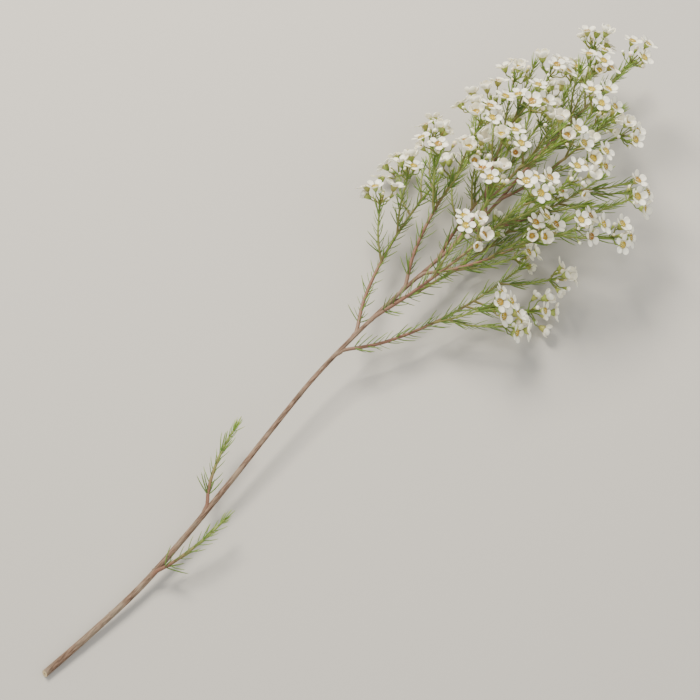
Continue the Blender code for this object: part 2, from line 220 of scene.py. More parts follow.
# Surface that is put together ring by ring, each ring going round the same way
class Surface:
    def __init__(self):
        self.points, self.faces = [], []

    def ring(self, points):
        self.points += points
        return list(range(len(self.points) - len(points), len(self.points)))

    def fan(self, ring):
        for k in range(1, len(ring) - 1):
            self.faces.append((ring[0], ring[k], ring[k + 1]))

    # Triangles between two rings of any counts, the second of which may be a single tip
    def band(self, a, b):
        i = j = 0
        while i < len(a) or (j < len(b) and len(b) > 1):
            if len(b) == 1 or j == len(b) or (i < len(a) and (i + 0.5) * len(b) < (j + 0.5) * len(a)):
                self.faces.append((a[i], a[(i + 1) % len(a)], b[j % len(b)]))
                i += 1
            else:
                self.faces.append((a[i % len(a)], b[(j + 1) % len(b)], b[j]))
                j += 1

    def grow(self, base, rings):
        for points in rings:
            following = self.ring(points)
            self.band(base, following)
            base = following
        self.fan(base)


def closedShape(rings):
    surface = Surface()
    base = surface.ring(rings[0])
    surface.fan(base[::-1])
    surface.grow(base, rings[1:])
    return surface


# Tapering tube along a path. With cutNormal its first end is cut to that plane. Each whorl is a
# distance and, for each side, the tip of a needle that rises from that side, or None.
def tube(path, radii, sides, side, cutNormal=None, whorls=()):
    stations = [(distance, None) for distance in stationsOf(path)]
    total = stations[-1][0]
    for distance, tips in whorls:
        half = leafRule["rootLength"] / 2
        stations += [(distance - half, tips), (distance + half, None)]
    surface = Surface()
    last = lastTips = None
    for distance, tips in sorted(stations, key=lambda station: station[0]):
        centre, _ = pointAt(path, distance)
        shifts = (-growthRule["bendLength"], growthRule["bendLength"])
        before, after = (pointAt(path, distance + shift)[0] for shift in shifts)
        ahead = (after - before).normalized()
        points = ringPoints(centre, ahead, side, between(radii, distance / total), evenAngles(sides))
        if last is None and cutNormal is not None:
            points = [p + ahead * ((centre - p).dot(cutNormal) / ahead.dot(cutNormal)) for p in points]
        ring = surface.ring(points)
        if last is None:
            surface.fan(ring[::-1])
        else:
            for k in range(sides):
                quad = [last[k], last[(k + 1) % sides], ring[(k + 1) % sides], ring[k]]
                if lastTips and lastTips[k]:
                    surface.band(quad, surface.ring([lastTips[k]]))
                else:
                    surface.fan(quad)
        last, lastTips = ring, tips
    surface.fan(last)
    return surface


# What has grown so far, so that new growth stays clear of it
class Space:
    def __init__(self):
        self.placed = []

    def add(self, shape, owner):
        points = shape.points
        low = [min(p[i] for p in points) for i in range(3)]
        high = [max(p[i] for p in points) for i in range(3)]
        self.placed.append((low, high, BVHTree.FromPolygons(points, shape.faces), owner))

    def isClear(self, shape, besides=""):
        points, faces = shape.points, shape.faces
        if min(p.z for p in points) < 0:
            return False
        normals = [Vector() for _ in points]
        for face in faces:
            a, b, c = (points[n] for n in face)
            normal = (b - a).cross(c - a).normalized()
            for n in face:
                normals[n] += normal
        points = [p + n.normalized() * growthRule["clearance"] for p, n in zip(points, normals)]
        low = [min(p[i] for p in points) for i in range(3)]
        high = [max(p[i] for p in points) for i in range(3)]
        tree = None
        for otherLow, otherHigh, other, owner in self.placed:
            if owner == besides or any(low[i] > otherHigh[i] or high[i] < otherLow[i] for i in range(3)):
                continue
            tree = tree or BVHTree.FromPolygons(points, faces)
            if tree.overlap(other):
                return False
        return True


# Path that leaves the axis at one angle and bends to another, and stays above the lowest height
def growingPath(start, axis, azimuth, length, steps, angles, flattening, lowest):
    path = [start]
    for i in range(steps):
        step = tilted(axis, sidewaysOf(axis), between(angles, (i / steps) ** 0.7), azimuth)
        step.z *= flattening
        point = path[-1] + step.normalized() * length / steps
        point.z = max(point.z, lowest)
        path.append(point)
    return path


def growStem(space):
    path = smoothPath(stemRule["points"], 2)
    ahead = (path[1] - path[0]).normalized()
    side = turned(sidewaysOf(ahead), ahead, 180 / stemRule["sides"])
    cut = tilted(ahead, up, stemRule["cutSlant"], 180)
    shape = tube(path, stemRule["radii"], stemRule["sides"], side, cut)
    space.add(shape, "main_stem")
    return {"name": "main_stem", "path": path, "shapes": [shape]}


def newTwig(space, name, path, radii, side, cutNormal=None):
    space.add(tube(path, radii, 4, side, cutNormal), name)
    twig = {"name": name, "path": path, "radii": radii, "side": side, "cut": cutNormal}
    return twig | {"whorls": [], "needles": []}


# One spray on the stem, seated on its surface at that y
def growSpray(space, stem, name, startY, azimuth, length, leafy):
    path = stem["path"]
    share = (startY - path[0].y) / (path[-1].y - path[0].y)
    point, ahead = pointAt(path, share * pathLength(path))
    outward = turned(sidewaysOf(ahead), ahead, azimuth)
    start = point + outward * (between(stemRule["radii"], share) + growthRule["seatGap"])
    flattening, lowest = sprayRule["flattening"], sprayRule["radii"][0]
    steps, angles = sprayRule["steps"], sprayRule["angles"]
    line = growingPath(start, ahead, azimuth, length, steps, angles, flattening, lowest)
    twig = newTwig(space, name, line, sprayRule["radii"], outward.cross(ahead), outward)
    return {"name": name, "leafy": leafy, "twigs": [twig]}


def growSprays(space, chance, stem):
    sprays = []
    for k in range(sprayRule["count"]):
        share = k / (sprayRule["count"] - 1)
        length = between(sprayRule["lengths"], share) * chance.uniform(*sprayRule["lengthSpread"])
        name = f"leafy_spray_{k + 1:02d}"
        y, azimuth = between(sprayRule["startsY"], share), sprayRule["azimuth"] + sprayRule["turn"] * k
        sprays.append(growSpray(space, stem, name, y, azimuth, length, k + 1 in sprayRule["leafy"]))
    end, ahead = pointAt(stem["path"], pathLength(stem["path"]))
    start = end + ahead * growthRule["seatGap"]
    length, angles = sprayRule["topLength"], sprayRule["topAngles"]
    path = growingPath(start, ahead, sprayRule["topAzimuth"], length, sprayRule["steps"], angles, 1, 0)
    radii = (stemRule["radii"][1], sprayRule["radii"][1])
    top = newTwig(space, "top_spray", path, radii, sidewaysOf(ahead))
    sprays.append({"name": "top_spray", "leafy": False, "twigs": [top]})
    return sprays


# The way out from the crown's axis at a point, stretched where the crown is low
def outOfCrown(point):
    return Vector((point.x, 0, (point.z - crownRule["height"]) * crownRule["heightFactor"]))


# The best of many tries at a twig: clear of all that has grown, and far from the other clusters
def growTwig(space, chance, spray, name, reach, centres):
    line = spray["twigs"][0]["path"]
    best = None
    for _ in range(twigRule["tries"]):
        share = chance.uniform(*reach)
        point, ahead = pointAt(line, share * pathLength(line))
        length = chance.uniform(*twigRule["lengths"])
        azimuth = chance.uniform(0, 360)
        angle = chance.uniform(*twigRule["angles"])
        angles = (angle, angle * twigRule["bend"])
        path = growingPath(point, ahead, azimuth, length, 2, angles, 1, twigRule["lowest"])
        end, heading = pointAt(path, length)
        centre = end + heading * twigRule["clusterReach"]
        if centre.z < twigRule["lowestCluster"]:
            continue
        spread = min([(centre - other).length for other in centres] + [twigRule["spacing"]])
        outside = min(outOfCrown(centre).length, crownRule["radius"])
        score = spread + crownRule["outsideFavour"] * outside + crownRule["topFavour"] * centre.z
        if best and score <= best[0]:
            continue
        room = twigRule["core"]
        core = tube([centre - up * room, centre + up * room], [room] * 2, 5, heading)
        widest = between(sprayRule["radii"], share) * twigRule["footShare"]
        radii = (min(twigRule["radii"][0], widest), twigRule["radii"][1])
        side = sidewaysOf(ahead)
        free = tube([pointAt(path, twigRule["foot"])[0]] + path[1:], radii, 4, side)
        if space.isClear(free) and space.isClear(core):
            best = (score, path, radii, side, centre)
    if best:
        _, path, radii, side, centre = best
        spray["twigs"].append(newTwig(space, name, path, radii, side))
        centres.append(centre)
        return path


def growTwigs(space, chance, sprays):
    centres, flowering = [], []
    for turn in range(twigRule["rounds"]):
        reach = [between(twigRule["reach"], (turn + end) / twigRule["rounds"]) for end in (0, 1)]
        for spray in sprays:
            if spray["leafy"] or len(flowering) == twigRule["flowering"]:
                continue
            name = f"{spray['name']}_twig_{turn}"
            path = growTwig(space, chance, spray, name, reach, centres)
            if path:
                flowering.append((path, name))
    for spray in sprays:
        for turn in range(twigRule["leafySpray"] if spray["leafy"] else twigRule["leafy"]):
            growTwig(space, chance, spray, f"{spray['name']}_leafy_{turn}", twigRule["leafyReach"], [])
    return flowering


# Rings of a bloom from the foot of its green cup: cup, petals, and the middle of the disc
def bloomRings(foot, facing, side, radius, rise):
    disc = bloomRule["discShare"] * radius
    lift = math.radians(rise)
    rim = foot + facing * (bloomRule["cupLength"] + bloomRule["thickness"])
    petals = []
    for turn in evenAngles(5):
        for angle, share in bloomRule["outline"]:
            run = share * radius - disc
            edge = ringPoints(rim, facing, side, disc + run * math.cos(lift), [turn + angle])[0]
            petals.append(edge + facing * run * math.sin(lift))
    return [
        ringPoints(foot, facing, side, clusterRule["stalkRadius"], evenAngles(4)),
        ringPoints(foot + facing * bloomRule["cupLength"], facing, side, disc, evenAngles(5, -36)),
        petals,
        [rim - facing * bloomRule["discDepth"]],
    ]


# Rings of a round bud in its cup
def budRings(foot, facing, side, radius):
    cup = foot + facing * bloomRule["cupLength"] * budRule["cupShare"]
    return [
        ringPoints(foot, facing, side, clusterRule["stalkRadius"], evenAngles(4)),
        ringPoints(cup, facing, side, radius * budRule["waist"], evenAngles(5)),
        ringPoints(cup + facing * radius * budRule["rises"][0], facing, side, radius, evenAngles(5)),
        [cup + facing * radius * budRule["rises"][1]],
    ]


# Head that grows clear of all others from four corners on its cluster's axis, or None
def growHead(space, chance, cluster, corners, number, isBud):
    root = sum(corners, Vector()) / 4
    side = corners[0] - root
    outward = (outOfCrown(root) + Vector((0, clusterRule["crownwards"], 0))).normalized()
    spread, tilts = clusterRule["azimuthSpread"], clusterRule["sideTilts" if number else "middleTilts"]
    stretch = 1 if number else clusterRule["middleStalk"]
    for attempt in range(clusterRule["tries"]):
        azimuth = 45 + number * 90 + chance.uniform(-spread, spread) * (1 + attempt / 3)
        tilt = chance.uniform(*tilts) + attempt
        direction = tilted(cluster["ahead"], cluster["side"], tilt, azimuth)
        ways = zip((direction, outward, up), clusterRule["facing"])
        facing = sum((way * share for way, share in ways), Vector()).normalized()
        length = chance.uniform(*clusterRule["stalkLengths"]) * stretch
        if isBud or attempt >= clusterRule["bloomTries"]:
            length *= budRule["stalk"]
            size, form = chance.uniform(*budRule["radii"]), None
            rings = budRings(root + direction * length, facing, side, size)
        else:
            size, form = chance.uniform(*bloomRule["radii"]), chance.choice(bloomRule["rises"])
            rings = bloomRings(root + direction * length, facing, side, size, form)
        foot = root + direction * clusterRule["stalkFoot"]
        footRing = ringPoints(foot, direction, side, clusterRule["stalkRadius"], evenAngles(4))
        free = closedShape([footRing] + rings)
        if space.isClear(free, cluster["twig"]):
            space.add(free, "heads")
            return rings, (root, direction, length, facing, side, size, form)
    return None


# Short axis past the end of a twig, with one head on its tip and one on each of its four sides
def growCluster(space, chance, name, twigPath, twigName):
    end, ahead = pointAt(twigPath, pathLength(twigPath))
    root = end + ahead * growthRule["seatGap"]
    side = turned(sidewaysOf(ahead), ahead, chance.uniform(0, 90))
    cluster = {"name": name, "twig": twigName, "ahead": ahead, "side": side, "root": root, "heads": []}
    surface = Surface()
    levels = []
    for share in (0, clusterRule["sideHeadsFrom"], 1):
        centre = root + ahead * clusterRule["axisLength"] * share
        radius = between(clusterRule["axisRadii"], share)
        levels.append(surface.ring(ringPoints(centre, ahead, side, radius, evenAngles(4))))
    surface.fan(levels[0][::-1])
    surface.band(levels[0], levels[1])
    buds = (3, 4) if chance.random() < clusterRule["fourthBudShare"] else (4,)
    for number in range(clusterRule["heads"]):
        base = levels[2]
        if number:
            a, b = number % 4, (number + 1) % 4
            base = [levels[1][a], levels[1][b], levels[2][b], levels[2][a]]
        corners = [surface.points[n] for n in base]
        grown = growHead(space, chance, cluster, corners, number, number in buds)
        if grown:
            surface.grow(base, grown[0])
            cluster["heads"].append(grown[1])
        else:
            surface.fan(base)
    space.add(surface, name)
    return cluster | {"shapes": [surface]}


# Opposite pairs of needles up a twig, set as whorls of four round its four sides
def growNeedles(space, chance, twig):
    path = twig["path"]
    stations = stationsOf(path)
    distance = leafRule["first"]
    while distance < stations[-1] - leafRule["last"]:
        if min(abs(distance - station) for station in stations) < leafRule["rootLength"]:
            distance += leafRule["rootLength"]
            continue
        point, ahead = pointAt(path, distance)
        share = distance / stations[-1]
        tips = []
        for k in range(4):
            for _ in range(leafRule["tries"]):
                angle = chance.uniform(*leafRule["angles"]) * (1 - leafRule["closing"] * share)
                length = chance.uniform(*leafRule["lengths"])
                azimuth = 45 + 90 * k + chance.uniform(-leafRule["spread"], leafRule["spread"])
                direction = tilted(ahead, twig["side"], angle, azimuth)
                tip = point + direction * length
                foot = point + direction * leafRule["foot"]
                footRing = ringPoints(foot, direction, ahead, leafRule["radius"], evenAngles(3))
                free = closedShape([footRing, [tip]])
                if space.isClear(free, twig["name"]):
                    space.add(free, twig["name"])
                    twig["needles"].append((point, direction, length, ahead, share))
                    tips.append(tip)
                    break
            else:
                tips.append(None)
        if any(tips):
            twig["whorls"].append((distance, tips))
        step = leafRule["spacing"] * between((1, leafRule["tipSpacing"]), share)
        distance += step * chance.uniform(*leafRule["spacingSpread"])


def growAll():
    chance = random.Random(growthRule["seed"])
    space = Space()
    stem = growStem(space)
    sprays = growSprays(space, chance, stem)
    flowering = growTwigs(space, chance, sprays)
    for k, (startY, azimuth) in enumerate(zip(sprayRule["lowerStartsY"], sprayRule["lowerAzimuths"])):
        name = f"lower_shoot_{k + 1}"
        sprays.append(growSpray(space, stem, name, startY, azimuth, sprayRule["lowerLength"], True))
    clusters = []
    for k, (path, twigName) in enumerate(flowering):
        clusters.append(growCluster(space, chance, f"flower_cluster_{k + 1:02d}", path, twigName))
    for spray in sprays:
        spray["shapes"] = []
        for twig in spray["twigs"]:
            growNeedles(space, chance, twig)
            shape = tube(twig["path"], twig["radii"], 4, twig["side"], twig["cut"], twig["whorls"])
            spray["shapes"].append(shape)
    return stem, sprays, clusters, space


# Middle of the volume that the shapes hold
def weightCentre(shapes):
    volume, moment = 0, Vector()
    for shape in shapes:
        for face in shape.faces:
            a, b, c = (shape.points[n] for n in face)
            part = a.dot(b.cross(c))
            volume += part
            moment += part * (a + b + c) / 4
    return moment / volume


# True where the point lies over the triangle, seen from above
def isOver(point, triangle):
    a, b, c = triangle
    sides = ((q - p).cross(point - p).z for p, q in ((a, b), (b, c), (c, a)))
    return all(side > 0 for side in sides)


# Turn that levels the three low points round the weight
def levellingTurn(centre, lowPoints):
    for a, b, c in itertools.combinations(lowPoints, 3):
        normal = (b - a).cross(c - a).normalized()
        if normal.z < 0:
            b, c, normal = c, b, -normal
        isLevel = all((p - a).dot(normal) > -growthRule["levelError"] for p in lowPoints)
        if isLevel and isOver(centre, (a, b, c)):
            return normal.rotation_difference(up).to_matrix().to_4x4()


# Turn and shift that lay the stem on its low points, with the origin on the surface under the
# middle of its box
def restingPlace(shapes):
    centre = weightCentre(shapes)
    turn = Matrix()
    for _ in range(growthRule["levellingRounds"]):
        lowPoints = [min((turn @ p for p in shape.points), key=lambda p: p.z) for shape in shapes]
        lowest = min(p.z for p in lowPoints)
        lowPoints = [p for p in lowPoints if p.z < lowest + growthRule["supportHeight"]]
        turn = levellingTurn(turn @ centre, lowPoints) @ turn
    points = [turn @ p for shape in shapes for p in shape.points]
    low = [min(p[i] for p in points) for i in range(3)]
    high = [max(p[i] for p in points) for i in range(3)]
    return Matrix.Translation((-(low[0] + high[0]) / 2, -(low[1] + high[1]) / 2, -low[2])) @ turn


# Looks from here on: each piece of the model below stands for one node of the frame


# Linear colour of an sRGB hex value
def colourOf(hexValue):
    values = [int(hexValue[i : i + 2], 16) / 255 for i in (1, 3, 5)]
    return [v / 12.92 if v <= 0.04045 else ((v + 0.055) / 1.055) ** 2.4 for v in values] + [1]


# Texture scale that gives a pattern that many millimetres across
def scaleOf(millimetres):
    return 1000 / millimetres


# Sets each input of a node to a value, or links it to a socket
def setInputs(tree, node, inputs):
    for key, value in inputs.items():
        if isinstance(value, bpy.types.NodeSocket):
            tree.links.new(value, node.inputs[key])
        else:
            node.inputs[key].default_value = value


# Adds a node with its settings and its inputs
def addNode(tree, kind, inputs={}, **settings):
    node = tree.nodes.new(kind)
    for name, value in settings.items():
        setattr(node, name, value)
    setInputs(tree, node, inputs)
    return node


# Material with its tree and its shader; what is the same all over is set on the shader
def newMaterial(name, **fixed):
    material = bpy.data.materials.new(name)
    material.use_nodes = True
    shader = material.node_tree.nodes["Principled BSDF"]
    for socket, value in fixed.items():
        shader.inputs[socket.replace("_", " ")].default_value = value
    return material, material.node_tree, shader


petalLook = {
    "claw": "#E6E4A4",
    "blade": "#FDF8DF",
    "aged": "#F3E6CC",
    "agedShare": 0.5,
    "clawEnd": 0.26,  # share of the petal's length
    "veinsAcross": 9,
    "veinRelief": 0.00006,
    "mottleMm": 1.8,
    "roughness": (0.34, 0.48),
    "light": {  # that seeps through
        "Subsurface_Weight": 0.3,
        "Subsurface_Scale": 0.0016,
        "Subsurface_Radius": (1.0, 0.9, 0.65),
    },
    "wax": {"Coat_Weight": 0.12, "Coat_Roughness": 0.35},
}


# Fresh petal tissue with a wax bloom: soft gloss, light that seeps through, faint fanned veins
def makeWaxyPetal():
    look = petalLook
    material, tree, shader = newMaterial("waxy_petal_tissue", IOR=1.42, **look["light"], **look["wax"])
    place = addNode(tree, "ShaderNodeTexCoord").outputs["Object"]
    names = ("along", "across", "shade")
    marks = (addNode(tree, "ShaderNodeAttribute", attribute_name=name) for name in names)
    along, across, shade = (mark.outputs["Fac"] for mark in marks)
    size = scaleOf(look["mottleMm"])
    mottle = addNode(tree, "ShaderNodeTexNoise", {"Vector": place, "Scale": size}).outputs["Fac"]
    ends = {0: along, 1: 0.0, 2: look["clawEnd"]}
    past = addNode(tree, "ShaderNodeMapRange", ends, interpolation_type="SMOOTHSTEP").outputs[0]
    age = addNode(tree, "ShaderNodeMath", {0: shade, 1: mottle}, operation="MULTIPLY").outputs[0]
    age = addNode(tree, "ShaderNodeMath", {0: age, 1: look["agedShare"]}, operation="MULTIPLY").outputs[0]
    spacing = {0: across, 1: look["veinsAcross"]}
    fan = addNode(tree, "ShaderNodeMath", spacing, operation="MULTIPLY").outputs[0]
    spread = addNode(tree, "ShaderNodeCombineXYZ", {0: fan, 1: along, 2: shade}).outputs[0]
    streaks = {"Vector": spread, "Scale": 1.0, "Detail": 3.0}
    veins = addNode(tree, "ShaderNodeTexNoise", streaks).outputs["Fac"]
    low, high = look["roughness"]
    relief = {"Height": veins, "Strength": 0.6, "Distance": look["veinRelief"]}
    tone = colourOf(look["claw"])
    for share, over in ((past, "blade"), (age, "aged")):
        mix = {0: share, 6: tone, 7: colourOf(look[over])}
        tone = addNode(tree, "ShaderNodeMix", mix, data_type="RGBA").outputs[2]
    setInputs(tree, shader, {
        "Base Color": tone,
        "Roughness": addNode(tree, "ShaderNodeMapRange", {0: mottle, 3: low, 4: high}).outputs[0],
        "Normal": addNode(tree, "ShaderNodeBump", relief).outputs[0],
    })
    return material


calyxLook = {
    "stalkEnd": "#6E8436",
    "rim": "#A8B65A",
    "flushed": "#A8744E",
    "flushFrom": 0.45,  # of the heads' shades
    "flushedShare": 0.35,
    "glandMm": 0.45,
    "glandRelief": 0.00008,
    "roughness": 0.42,
    "light": {"Subsurface_Weight": 0.12, "Subsurface_Scale": 0.001},
}


# Skin of the flower cups and stalks: yellow-green, dotted with oil glands, some flushed brown-red
def makeCalyxSkin():
    look = calyxLook
    material, tree, shader = newMaterial(
        "calyx_skin", IOR=1.43, Roughness=look["roughness"], **look["light"]
    )
    place = addNode(tree, "ShaderNodeTexCoord").outputs["Object"]
    marks = (addNode(tree, "ShaderNodeAttribute", attribute_name=name) for name in ("along", "shade"))
    along, shade = (mark.outputs["Fac"] for mark in marks)
    size = scaleOf(look["glandMm"])
    glands = addNode(tree, "ShaderNodeTexVoronoi", {"Vector": place, "Scale": size}).outputs["Distance"]
    ends = {0: shade, 1: look["flushFrom"], 2: 1.0, 4: look["flushedShare"]}
    flush = addNode(tree, "ShaderNodeMapRange", ends).outputs[0]
    relief = {"Height": glands, "Strength": 0.5, "Distance": look["glandRelief"]}
    tone = colourOf(look["stalkEnd"])
    for share, over in ((along, "rim"), (flush, "flushed")):
        mix = {0: share, 6: tone, 7: colourOf(look[over])}
        tone = addNode(tree, "ShaderNodeMix", mix, data_type="RGBA").outputs[2]
    setInputs(tree, shader, {
        "Base Color": tone,
        "Normal": addNode(tree, "ShaderNodeBump", relief).outputs[0],
    })
    return material


discLook = {
    # pale knob in the dish's middle: partly its own colour, partly a painted highlight
    "knob": "#EFE68C",
    "knobHighlightEnds": (0.096, 0.16),  # where it fades, in shares of the dish's radius
    "middle": "#D3BC30",
    "rim": "#A0861C",
    "aged": "#8E5E1C",
    "agedFrom": 0.55,  # of the blooms' shades
    "agedShare": 0.9,
    "roughness": (0.14, 0.32),
    "beadMm": 0.6,
    "beadRelief": 0.0001,
    "wet": {"Coat_Weight": 0.4, "Coat_Roughness": 0.12},
}


# Nectar disc: a glossy wet dish, golden in an olive ring while fresh and amber once it ages, with a painted
# highlight on its pale knob
def makeNectarDisc():
    look = discLook
    material, tree, shader = newMaterial("nectar_disc", IOR=1.4, **look["wet"])
    place = addNode(tree, "ShaderNodeTexCoord").outputs["Object"]
    marks = (addNode(tree, "ShaderNodeAttribute", attribute_name=name) for name in ("along", "shade"))
    along, shade = (mark.outputs["Fac"] for mark in marks)
    size = scaleOf(look["beadMm"])
    beads = addNode(tree, "ShaderNodeTexNoise", {"Vector": place, "Scale": size}).outputs["Fac"]
    ends = {0: shade, 1: look["agedFrom"], 2: 1.0, 4: look["agedShare"]}
    age = addNode(tree, "ShaderNodeMapRange", ends).outputs[0]
    dish = colourOf(look["middle"])
    for share, over in ((along, "rim"), (age, "aged")):
        mix = {0: share, 6: dish, 7: colourOf(look[over])}
        dish = addNode(tree, "ShaderNodeMix", mix, data_type="RGBA").outputs[2]
    # The knob is painted pale over the dish: partly its own colour, partly a painted highlight
    low, high = look["knobHighlightEnds"]
    offKnobHighlight = addNode(tree, "ShaderNodeMapRange", {0: along, 1: low, 2: high}).outputs[0]
    mix = {0: offKnobHighlight, 6: colourOf(look["knob"]), 7: dish}
    tone = addNode(tree, "ShaderNodeMix", mix, data_type="RGBA").outputs[2]
    low, high = look["roughness"]
    relief = {"Height": beads, "Strength": 0.4, "Distance": look["beadRelief"]}
    setInputs(tree, shader, {
        "Base Color": tone,
        "Roughness": addNode(tree, "ShaderNodeMapRange", {0: beads, 3: low, 4: high}).outputs[0],
        "Normal": addNode(tree, "ShaderNodeBump", relief).outputs[0],
    })
    return material


stamenLook = {
    "filament": "#F2ECC8",
    "anther": "#C9A56B",
    "antherEnds": (0.78, 0.82),  # along the thread, where one turns into the other
    "roughness": 0.45,
    "light": {"Subsurface_Weight": 0.1, "Subsurface_Scale": 0.0005},
}


# Stamens and style: cream threads with small tan anthers
def makeStamenTissue():
    look = stamenLook
    material, tree, shader = newMaterial(
        "stamen_tissue", IOR=1.42, Roughness=look["roughness"], **look["light"]
    )
    along = addNode(tree, "ShaderNodeAttribute", attribute_name="along").outputs["Fac"]
    low, high = look["antherEnds"]
    tip = addNode(tree, "ShaderNodeMapRange", {0: along, 1: low, 2: high}).outputs[0]
    mix = {0: tip, 6: colourOf(look["filament"]), 7: colourOf(look["anther"])}
    tone = addNode(tree, "ShaderNodeMix", mix, data_type="RGBA").outputs[2]
    setInputs(tree, shader, {"Base Color": tone})
    return material


budLook = {
    "foot": "#C6CC8E",
    "ball": "#F8F5DF",
    "blush": "#E6D2A4",
    "footEnd": 0.35,
    "blushFrom": 0.6,  # of the buds' shades
    "roughness": 0.36,
    "mottleMm": 1.2,
    "mottleRelief": 0.00008,
    "light": {"Subsurface_Weight": 0.25, "Subsurface_Scale": 0.0014},
}


# Closed waxy bud: cream over green, the youngest ones blushed with tan at the tip
def makeBudSkin():
    look = budLook
    material, tree, shader = newMaterial(
        "waxy_bud_skin", IOR=1.42, Roughness=look["roughness"], **look["light"]
    )
    place = addNode(tree, "ShaderNodeTexCoord").outputs["Object"]
    marks = (addNode(tree, "ShaderNodeAttribute", attribute_name=name) for name in ("along", "shade"))
    along, shade = (mark.outputs["Fac"] for mark in marks)
    size = scaleOf(look["mottleMm"])
    mottle = addNode(tree, "ShaderNodeTexNoise", {"Vector": place, "Scale": size}).outputs["Fac"]
    past = addNode(tree, "ShaderNodeMapRange", {0: along, 1: 0.0, 2: look["footEnd"]}).outputs[0]
    young = addNode(tree, "ShaderNodeMapRange", {0: shade, 1: look["blushFrom"], 2: 1.0}).outputs[0]
    tip = addNode(tree, "ShaderNodeMath", {0: young, 1: along}, operation="MULTIPLY").outputs[0]
    relief = {"Height": mottle, "Strength": 0.4, "Distance": look["mottleRelief"]}
    tone = colourOf(look["foot"])
    for share, over in ((past, "ball"), (tip, "blush")):
        mix = {0: share, 6: tone, 7: colourOf(look[over])}
        tone = addNode(tree, "ShaderNodeMix", mix, data_type="RGBA").outputs[2]
    setInputs(tree, shader, {
        "Base Color": tone,
        "Normal": addNode(tree, "ShaderNodeBump", relief).outputs[0],
    })
    return material


needleLook = {
    "root": "#62862C",
    "tip": "#9DB446",
    "dark": "#36521E",
    "darkShare": 0.75,
    "glandMm": 0.5,
    "glandRelief": 0.0001,
    "roughness": (0.36, 0.52),
    "light": {"Subsurface_Weight": 0.06, "Subsurface_Scale": 0.0006},
}


# Leathery needle leaf, dotted with oil glands: mid green, yellower at its tip and when young
def makeNeedleLeaf():
    look = needleLook
    material, tree, shader = newMaterial("needle_leaf_cuticle", IOR=1.45, **look["light"])
    place = addNode(tree, "ShaderNodeTexCoord").outputs["Object"]
    marks = (addNode(tree, "ShaderNodeAttribute", attribute_name=name) for name in ("along", "shade"))
    along, shade = (mark.outputs["Fac"] for mark in marks)
    size = scaleOf(look["glandMm"])
    glands = addNode(tree, "ShaderNodeTexVoronoi", {"Vector": place, "Scale": size}).outputs["Distance"]
    old = addNode(tree, "ShaderNodeMapRange", {0: shade, 3: look["darkShare"], 4: 0.0}).outputs[0]
    low, high = look["roughness"]
    relief = {"Height": glands, "Strength": 0.5, "Distance": look["glandRelief"]}
    tone = colourOf(look["root"])
    for share, over in ((along, "tip"), (old, "dark")):
        mix = {0: share, 6: tone, 7: colourOf(look[over])}
        tone = addNode(tree, "ShaderNodeMix", mix, data_type="RGBA").outputs[2]
    setInputs(tree, shader, {
        "Base Color": tone,
        "Roughness": addNode(tree, "ShaderNodeMapRange", {0: glands, 3: low, 4: high}).outputs[0],
        "Normal": addNode(tree, "ShaderNodeBump", relief).outputs[0],
    })
    return material


twigLook = {
    "corky": "#7D6652",
    "woody": "#765240",
    "green": "#7F8F42",
    "fleck": "#A07E5C",
    "woodyEnds": (-0.22, -0.06),  # along the shoot, from the first of it to where it covers the rest
    "greenEnds": (0.15, 0.85),
    "fleckEnds": (0.52, 0.72),  # of the grain
    "fleckShare": 0.6,
    "grainMm": 0.7,
    "grainRelief": 0.00012,
    "roughness": 0.55,
}


# Young shoot skin: red-brown where it turns woody, green towards the tip, with fine corky flecks
def makeShootSkin():
    look = twigLook
    material, tree, shader = newMaterial("young_shoot_skin", IOR=1.45, Roughness=look["roughness"])
    place = addNode(tree, "ShaderNodeTexCoord").outputs["Object"]
    reach = addNode(tree, "ShaderNodeAttribute", attribute_name="reach").outputs["Fac"]
    flecks = {"Vector": place, "Scale": scaleOf(look["grainMm"]), "Detail": 4.0}
    grain = addNode(tree, "ShaderNodeTexNoise", flecks).outputs["Fac"]
    tone = colourOf(look["corky"])
    layers = ((reach, "woody", 1.0), (reach, "green", 1.0), (grain, "fleck", look["fleckShare"]))
    for source, over, full in layers:
        low, high = look[over + "Ends"]
        share = addNode(tree, "ShaderNodeMapRange", {0: source, 1: low, 2: high, 4: full}).outputs[0]
        mix = {0: share, 6: tone, 7: colourOf(look[over])}
        tone = addNode(tree, "ShaderNodeMix", mix, data_type="RGBA").outputs[2]
    relief = {"Height": grain, "Strength": 0.6, "Distance": look["grainRelief"]}
    normal = addNode(tree, "ShaderNodeBump", relief).outputs[0]
    setInputs(tree, shader, {"Base Color": tone, "Normal": normal})
    return material


barkLook = {
    "furrow": "#4A3526",
    "ridge": "#8C705A",
    "lichen": "#9C9079",
    "young": twigLook["woody"],  # towards the top the bark turns to the red-brown of the shoots
    "ridgeEnds": (0.36, 0.62),  # of the fibres
    "lichenEnds": (0.45, 0.75),  # of the patches
    "lichenShare": 0.55,
    "youngEnds": (0.70, 0.98),  # along the stem
    "fibreMm": (0.7, 9.0),  # across and along the stem
    "patchMm": 14.0,
    "relief": 0.0003,
    "roughness": (0.68, 0.86),
}


